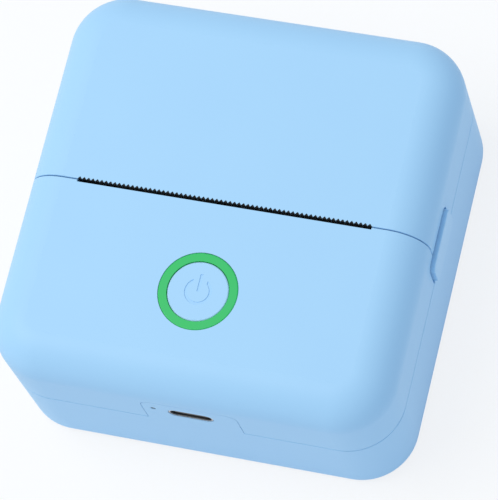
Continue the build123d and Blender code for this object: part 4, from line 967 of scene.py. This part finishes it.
def makePort():
    # a dark liner inside the socket's shell, painted shade for the socket's dark inside, and gold contacts on
    # both faces of its tongue
    look = {
        "x": 0.8,
        "z": 26.5,
        "halfWidth": 4.16,
        "halfHeight": 1.29,
        "skin": 0.07,
        "front": -39.95,
        "back": -33.9,
    }
    front, back, skin = look["front"], look["back"], look["skin"]
    form = bmesh.new()
    rings = []
    for inset, y in ((0, front), (0, back), (skin, back), (skin, front)):
        outline = racetrack(look["halfWidth"] - inset, look["halfHeight"] - inset)
        around = [((look["x"] + x) * mm, y * mm, (look["z"] + z) * mm) for x, z in outline]
        rings.append([form.verts.new(spot) for spot in around])
    for first, second in zip(rings, rings[1:] + rings[:1]):
        for step in range(len(first)):
            after = (step + 1) % len(first)
            form.faces.new((first[step], first[after], second[after], second[step]))
    bmesh.ops.recalc_face_normals(form, faces=form.faces)
    mesh = bpy.data.meshes.new("portLiner")
    form.to_mesh(mesh)
    form.free()
    smoothByAngle(mesh)
    # the black polymer on this liner is painted shade inside the shell
    mesh.materials.append(tonguePolymer)
    shadeLiner = addObject("portLiner", mesh)
    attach(shadeLiner, "case")
    pads = {
        "width": 0.26,
        "pitch": 0.5,
        "count": 12,
        "front": -39.6,
        "length": 3.4,
        "thick": 0.03,
        "face": 0.35,
    }
    half = pads["width"] / 2
    outline = [(-half, 0), (half, 0), (half, pads["length"]), (-half, pads["length"])]
    pad = prism(outline, 0, pads["thick"])
    spots = []
    for number in range(pads["count"]):
        x = look["x"] + (number - (pads["count"] - 1) / 2) * pads["pitch"]
        spots.append((x, pads["front"], look["z"] + pads["face"]))
        spots.append((x, pads["front"], look["z"] - pads["face"] - pads["thick"]))
    repeatShape("socketContacts", pad, spots, contactGold, "case")


def makeBoardParts():
    # legs of the processor and a scatter of chip capacitors where the main board is free
    low, high = boxOf("processor_chip")
    board = boxOf("main_board")
    top = board[1][2]
    legs = {"width": 0.28, "reach": 0.9, "pitch": 0.65, "count": 11, "thick": 0.14, "tuck": 0.15}
    half = legs["width"] / 2
    middle = [(low[axis] + high[axis]) / 2 for axis in range(2)]
    start = (high[0] - low[0]) / 2 - legs["tuck"]
    for name, turn in (("processorLegsX", 0), ("processorLegsY", math.pi / 2)):
        end = start + legs["reach"]
        leg = prism([(start, -half), (end, -half), (end, half), (start, half)], 0, legs["thick"])
        mirrored = leg.copy()
        mirrored.transform(Matrix.Rotation(math.pi, 4, "Z"))
        both = bmesh.new()
        both.from_mesh(leg)
        both.from_mesh(mirrored)
        both.to_mesh(leg)
        both.free()
        leg.transform(Matrix.Rotation(turn, 4, "Z"))
        spots = []
        for number in range(legs["count"]):
            shift = (number - (legs["count"] - 1) / 2) * legs["pitch"]
            spot = (middle[0], middle[1] + shift, top) if turn == 0 else (middle[0] + shift, middle[1], top)
            spots.append(spot)
        repeatShape(name, leg, spots, endTin, "case")
    chance = random.Random(11)
    parts = {
        "length": 1.6,
        "width": 0.8,
        "height": 0.7,
        "end": 0.3,
        "stepX": 2.9,
        "stepY": 2.3,
        "keep": 0.62,
        "clear": 1.1,
        "inset": 0.03,
        "turnSpread": 0.05,
        "seed": 9,
    }
    # what stands on the board, and how far the parts keep from its edges and screws
    room = {
        "above": 1.2,
        "touch": 0.05,
        "widest": 30,
        "left": 1.8,
        "right": 1.6,
        "front": 1.6,
        "back": 1.2,
        "screw": 3.6,
    }
    screwSpots = [(x, y) for x in (-24.5, 24.5) for y in (-35.1, -17.1)]
    taken = []
    for node in nodes:
        lowest, highest = boxOf(node)
        level = lowest[2] < top + room["above"] and highest[2] > top + room["touch"]
        small = highest[0] - lowest[0] < room["widest"]
        if node not in ("main_board", "board_screws") and level and small:
            taken.append((lowest, highest))
    spots = []
    y = board[0][1] + room["front"]
    while y < board[1][1] - room["back"]:
        x = board[0][0] + room["left"]
        while x < board[1][0] - room["right"]:
            pad = (parts["length"] / 2 + parts["clear"], parts["width"] / 2 + parts["clear"])
            free = all(
                x + pad[0] < least[0] or x - pad[0] > most[0] or y + pad[1] < least[1] or y - pad[1] > most[1]
                for least, most in taken
            )
            bare = all(math.hypot(x - spot[0], y - spot[1]) > room["screw"] for spot in screwSpots)
            if free and bare and chance.random() < parts["keep"]:
                spots.append((x, y, top))
            x += parts["stepX"]
        y += parts["stepY"]
    halfLength, halfWidth = parts["length"] / 2, parts["width"] / 2
    inner = halfLength - parts["end"]
    slim = halfWidth - parts["inset"]
    body = prism(
        [(-inner, -slim), (inner, -slim), (inner, slim), (-inner, slim)], 0, parts["height"] - parts["inset"]
    )
    ends = bmesh.new()
    for side in (-1, 1):
        near, far = side * inner, side * halfLength
        outline = [(near, -halfWidth), (far, -halfWidth), (far, halfWidth), (near, halfWidth)]
        ends.from_mesh(prism(outline, 0, parts["height"]))
    endMesh = bpy.data.meshes.new("capacitorEnds")
    ends.to_mesh(endMesh)
    ends.free()
    spread, seed = parts["turnSpread"], parts["seed"]
    repeatShape("capacitorBodies", body, spots, capacitorCeramic, "case", spread, seed)
    repeatShape("capacitorEnds", endMesh, spots, endTin, "case", spread, seed)
    print("  capacitors:", len(spots))


def makeRibs():
    # slim guide ribs round the paper trough, and stiffening ribs inside the lid
    bay = {
        "y": 18.011,
        "z": 19.6,
        "outer": 15.62,
        "inner": 15.32,
        "width": 0.8,
        "crest": 0.6,
        "from": 170,
        "to": 356,
        "steps": 40,
        "runOut": 12,
        "places": (-25, -18, -11, -4, 3, 14, 25),
    }
    form = bmesh.new()
    rings = []
    for step in range(bay["steps"] + 1):
        share = step / bay["steps"]
        angle = math.radians(bay["from"] + (bay["to"] - bay["from"]) * share)
        sunk = max(0, 1 - bay["runOut"] * min(share, 1 - share))
        inner = bay["inner"] + (bay["outer"] - bay["inner"]) * sunk
        ring = []
        outer, crest = bay["outer"], bay["crest"]
        for x, radius in ((-1, outer), (-crest, inner), (crest, inner), (1, outer)):
            ring.append(
                form.verts.new((
                    x * bay["width"] / 2 * mm,
                    (bay["y"] + radius * math.cos(angle)) * mm,
                    (bay["z"] + radius * math.sin(angle)) * mm,
                ))
            )
        rings.append(ring)
    for first, second in zip(rings, rings[1:]):
        for step in range(4):
            after = (step + 1) % 4
            form.faces.new((first[step], first[after], second[after], second[step]))
    form.faces.new(rings[0])
    form.faces.new(rings[-1][::-1])
    bmesh.ops.recalc_face_normals(form, faces=form.faces)
    mesh = bpy.data.meshes.new("troughRib")
    form.to_mesh(mesh)
    form.free()
    smoothByAngle(mesh)
    spots = [(x, 0, 0) for x in bay["places"]]
    repeatShape("troughRibs", mesh, spots, framePolyamide, "case")
    lid = {
        "from": 16.0,
        "to": 31.5,
        "ceiling": 37.43,
        "height": 1.1,
        "foot": 0.9,
        "crest": 0.6,
        "softEdge": 0.12,
        "places": (-24, -16, -8, 0, 8, 16, 24),
    }
    section = [
        (-lid["foot"] / 2, lid["ceiling"]),
        (-lid["crest"] / 2, lid["ceiling"] - lid["height"]),
        (lid["crest"] / 2, lid["ceiling"] - lid["height"]),
        (lid["foot"] / 2, lid["ceiling"]),
    ]
    rib = prism(section, lid["from"], lid["to"])
    rib.transform(Matrix(((1, 0, 0, 0), (0, 0, 1, 0), (0, 1, 0, 0), (0, 0, 0, 1))))
    rib.flip_normals()
    rib = bevelled(rib, lid["softEdge"])
    repeatShape("lidRibs", rib, [(x, 0, 0) for x in lid["places"]], shellAbs, "lid")


makeScrews()
makeNotchShadeBar()
makePort()
makeBoardParts()
makeRibs()
print("stage 3: detail pieces made")


def makeFloor():
    # a white sweep: mostly plain white to the camera, with the printer's soft shadow in it
    sizes = {"side": 4.0, "white": 0.8, "paint": "#F7FBFF"}
    mesh = bpy.data.meshes.new("studioFloor")
    half = sizes["side"] / 2
    corners = [(-half, -half, 0), (half, -half, 0), (half, half, 0), (-half, half, 0)]
    mesh.from_pydata(corners, [], [(0, 1, 2, 3)])
    floor = bpy.data.objects.new("studioFloor", mesh)
    bpy.context.scene.collection.objects.link(floor)
    material = bpy.data.materials.new("white paper sweep")
    material.use_nodes = True
    tree = material.node_tree
    tree.nodes.clear()
    paper = addNode(tree, "ShaderNodeBsdfDiffuse", {"Color": linear(sizes["paint"])})
    white = addNode(tree, "ShaderNodeEmission", {"Color": (1, 1, 1, 1), "Strength": 1.0})
    seen = addNode(tree, "ShaderNodeLightPath").outputs
    direct = maths(tree, "MAXIMUM", seen["Is Camera Ray"], seen["Is Glossy Ray"])
    direct = maths(tree, "MAXIMUM", direct, seen["Is Transmission Ray"])
    share = maths(tree, "MULTIPLY", direct, sizes["white"])
    mixed = addNode(
        tree, "ShaderNodeMixShader", None, {0: share, 1: paper.outputs[0], 2: white.outputs[0]}
    )
    addNode(tree, "ShaderNodeOutputMaterial", None, {"Surface": mixed.outputs[0]})
    mesh.materials.append(material)


def makeWorld():
    # even soft daylight all round; only the camera sees it as white
    sizes = {"strength": 0.56, "sky": (0.82, 0.97, 1.15, 1)}
    world = bpy.data.worlds.new("softStudio")
    bpy.context.scene.world = world
    world.use_nodes = True
    tree = world.node_tree
    tree.nodes.clear()
    soft = addNode(tree, "ShaderNodeBackground", {"Color": sizes["sky"], "Strength": sizes["strength"]})
    white = addNode(tree, "ShaderNodeBackground", {"Color": (1, 1, 1, 1), "Strength": 1.0})
    seen = addNode(tree, "ShaderNodeLightPath").outputs
    mixed = addNode(
        tree, "ShaderNodeMixShader", None, {0: seen["Is Camera Ray"], 1: soft.outputs[0], 2: white.outputs[0]}
    )
    addNode(tree, "ShaderNodeOutputWorld", None, {"Surface": mixed.outputs[0]})


def makeLamp(name, place, size, power, colour, target=(0, 0, 20)):
    # a soft box at a place in mm, turned to the target
    light = bpy.data.lights.new(name, "AREA")
    light.shape = "DISK"
    light.size = size * mm
    light.energy = power
    light.color = colour
    lamp = bpy.data.objects.new(name, light)
    bpy.context.scene.collection.objects.link(lamp)
    lamp.location = Vector(place) * mm
    lamp.rotation_euler = (Vector(target) - Vector(place)).to_track_quat("-Z", "Y").to_euler()


def makeCamera():
    # the photograph's view, from nearly overhead, turned and tilted; a long lens
    view = {
        "place": (169.686, -217.648, 656.445),
        "turn": (20.9947, 9.9915, 13.6481),
        "lens": 254.592,
        "sensor": 36,
        "nearest": 0.01,
        "farthest": 20,
    }
    data = bpy.data.cameras.new("photoCamera")
    data.lens = view["lens"]
    data.sensor_fit = "VERTICAL"
    data.sensor_height = view["sensor"]
    data.clip_start = view["nearest"]
    data.clip_end = view["farthest"]
    camera = bpy.data.objects.new("photoCamera", data)
    bpy.context.scene.collection.objects.link(camera)
    camera.location = Vector(view["place"]) * mm
    camera.rotation_euler = [math.radians(angle) for angle in view["turn"]]
    bpy.context.scene.camera = camera


makeFloor()
makeWorld()
makeLamp("overheadBox", place=(-380, -50, 780), size=700, power=4.15, colour=(1.0, 0.91, 0.79))
makeCamera()
bpy.context.scene.view_settings.view_transform = "Standard"
print("stage 4: floor, light and camera set")
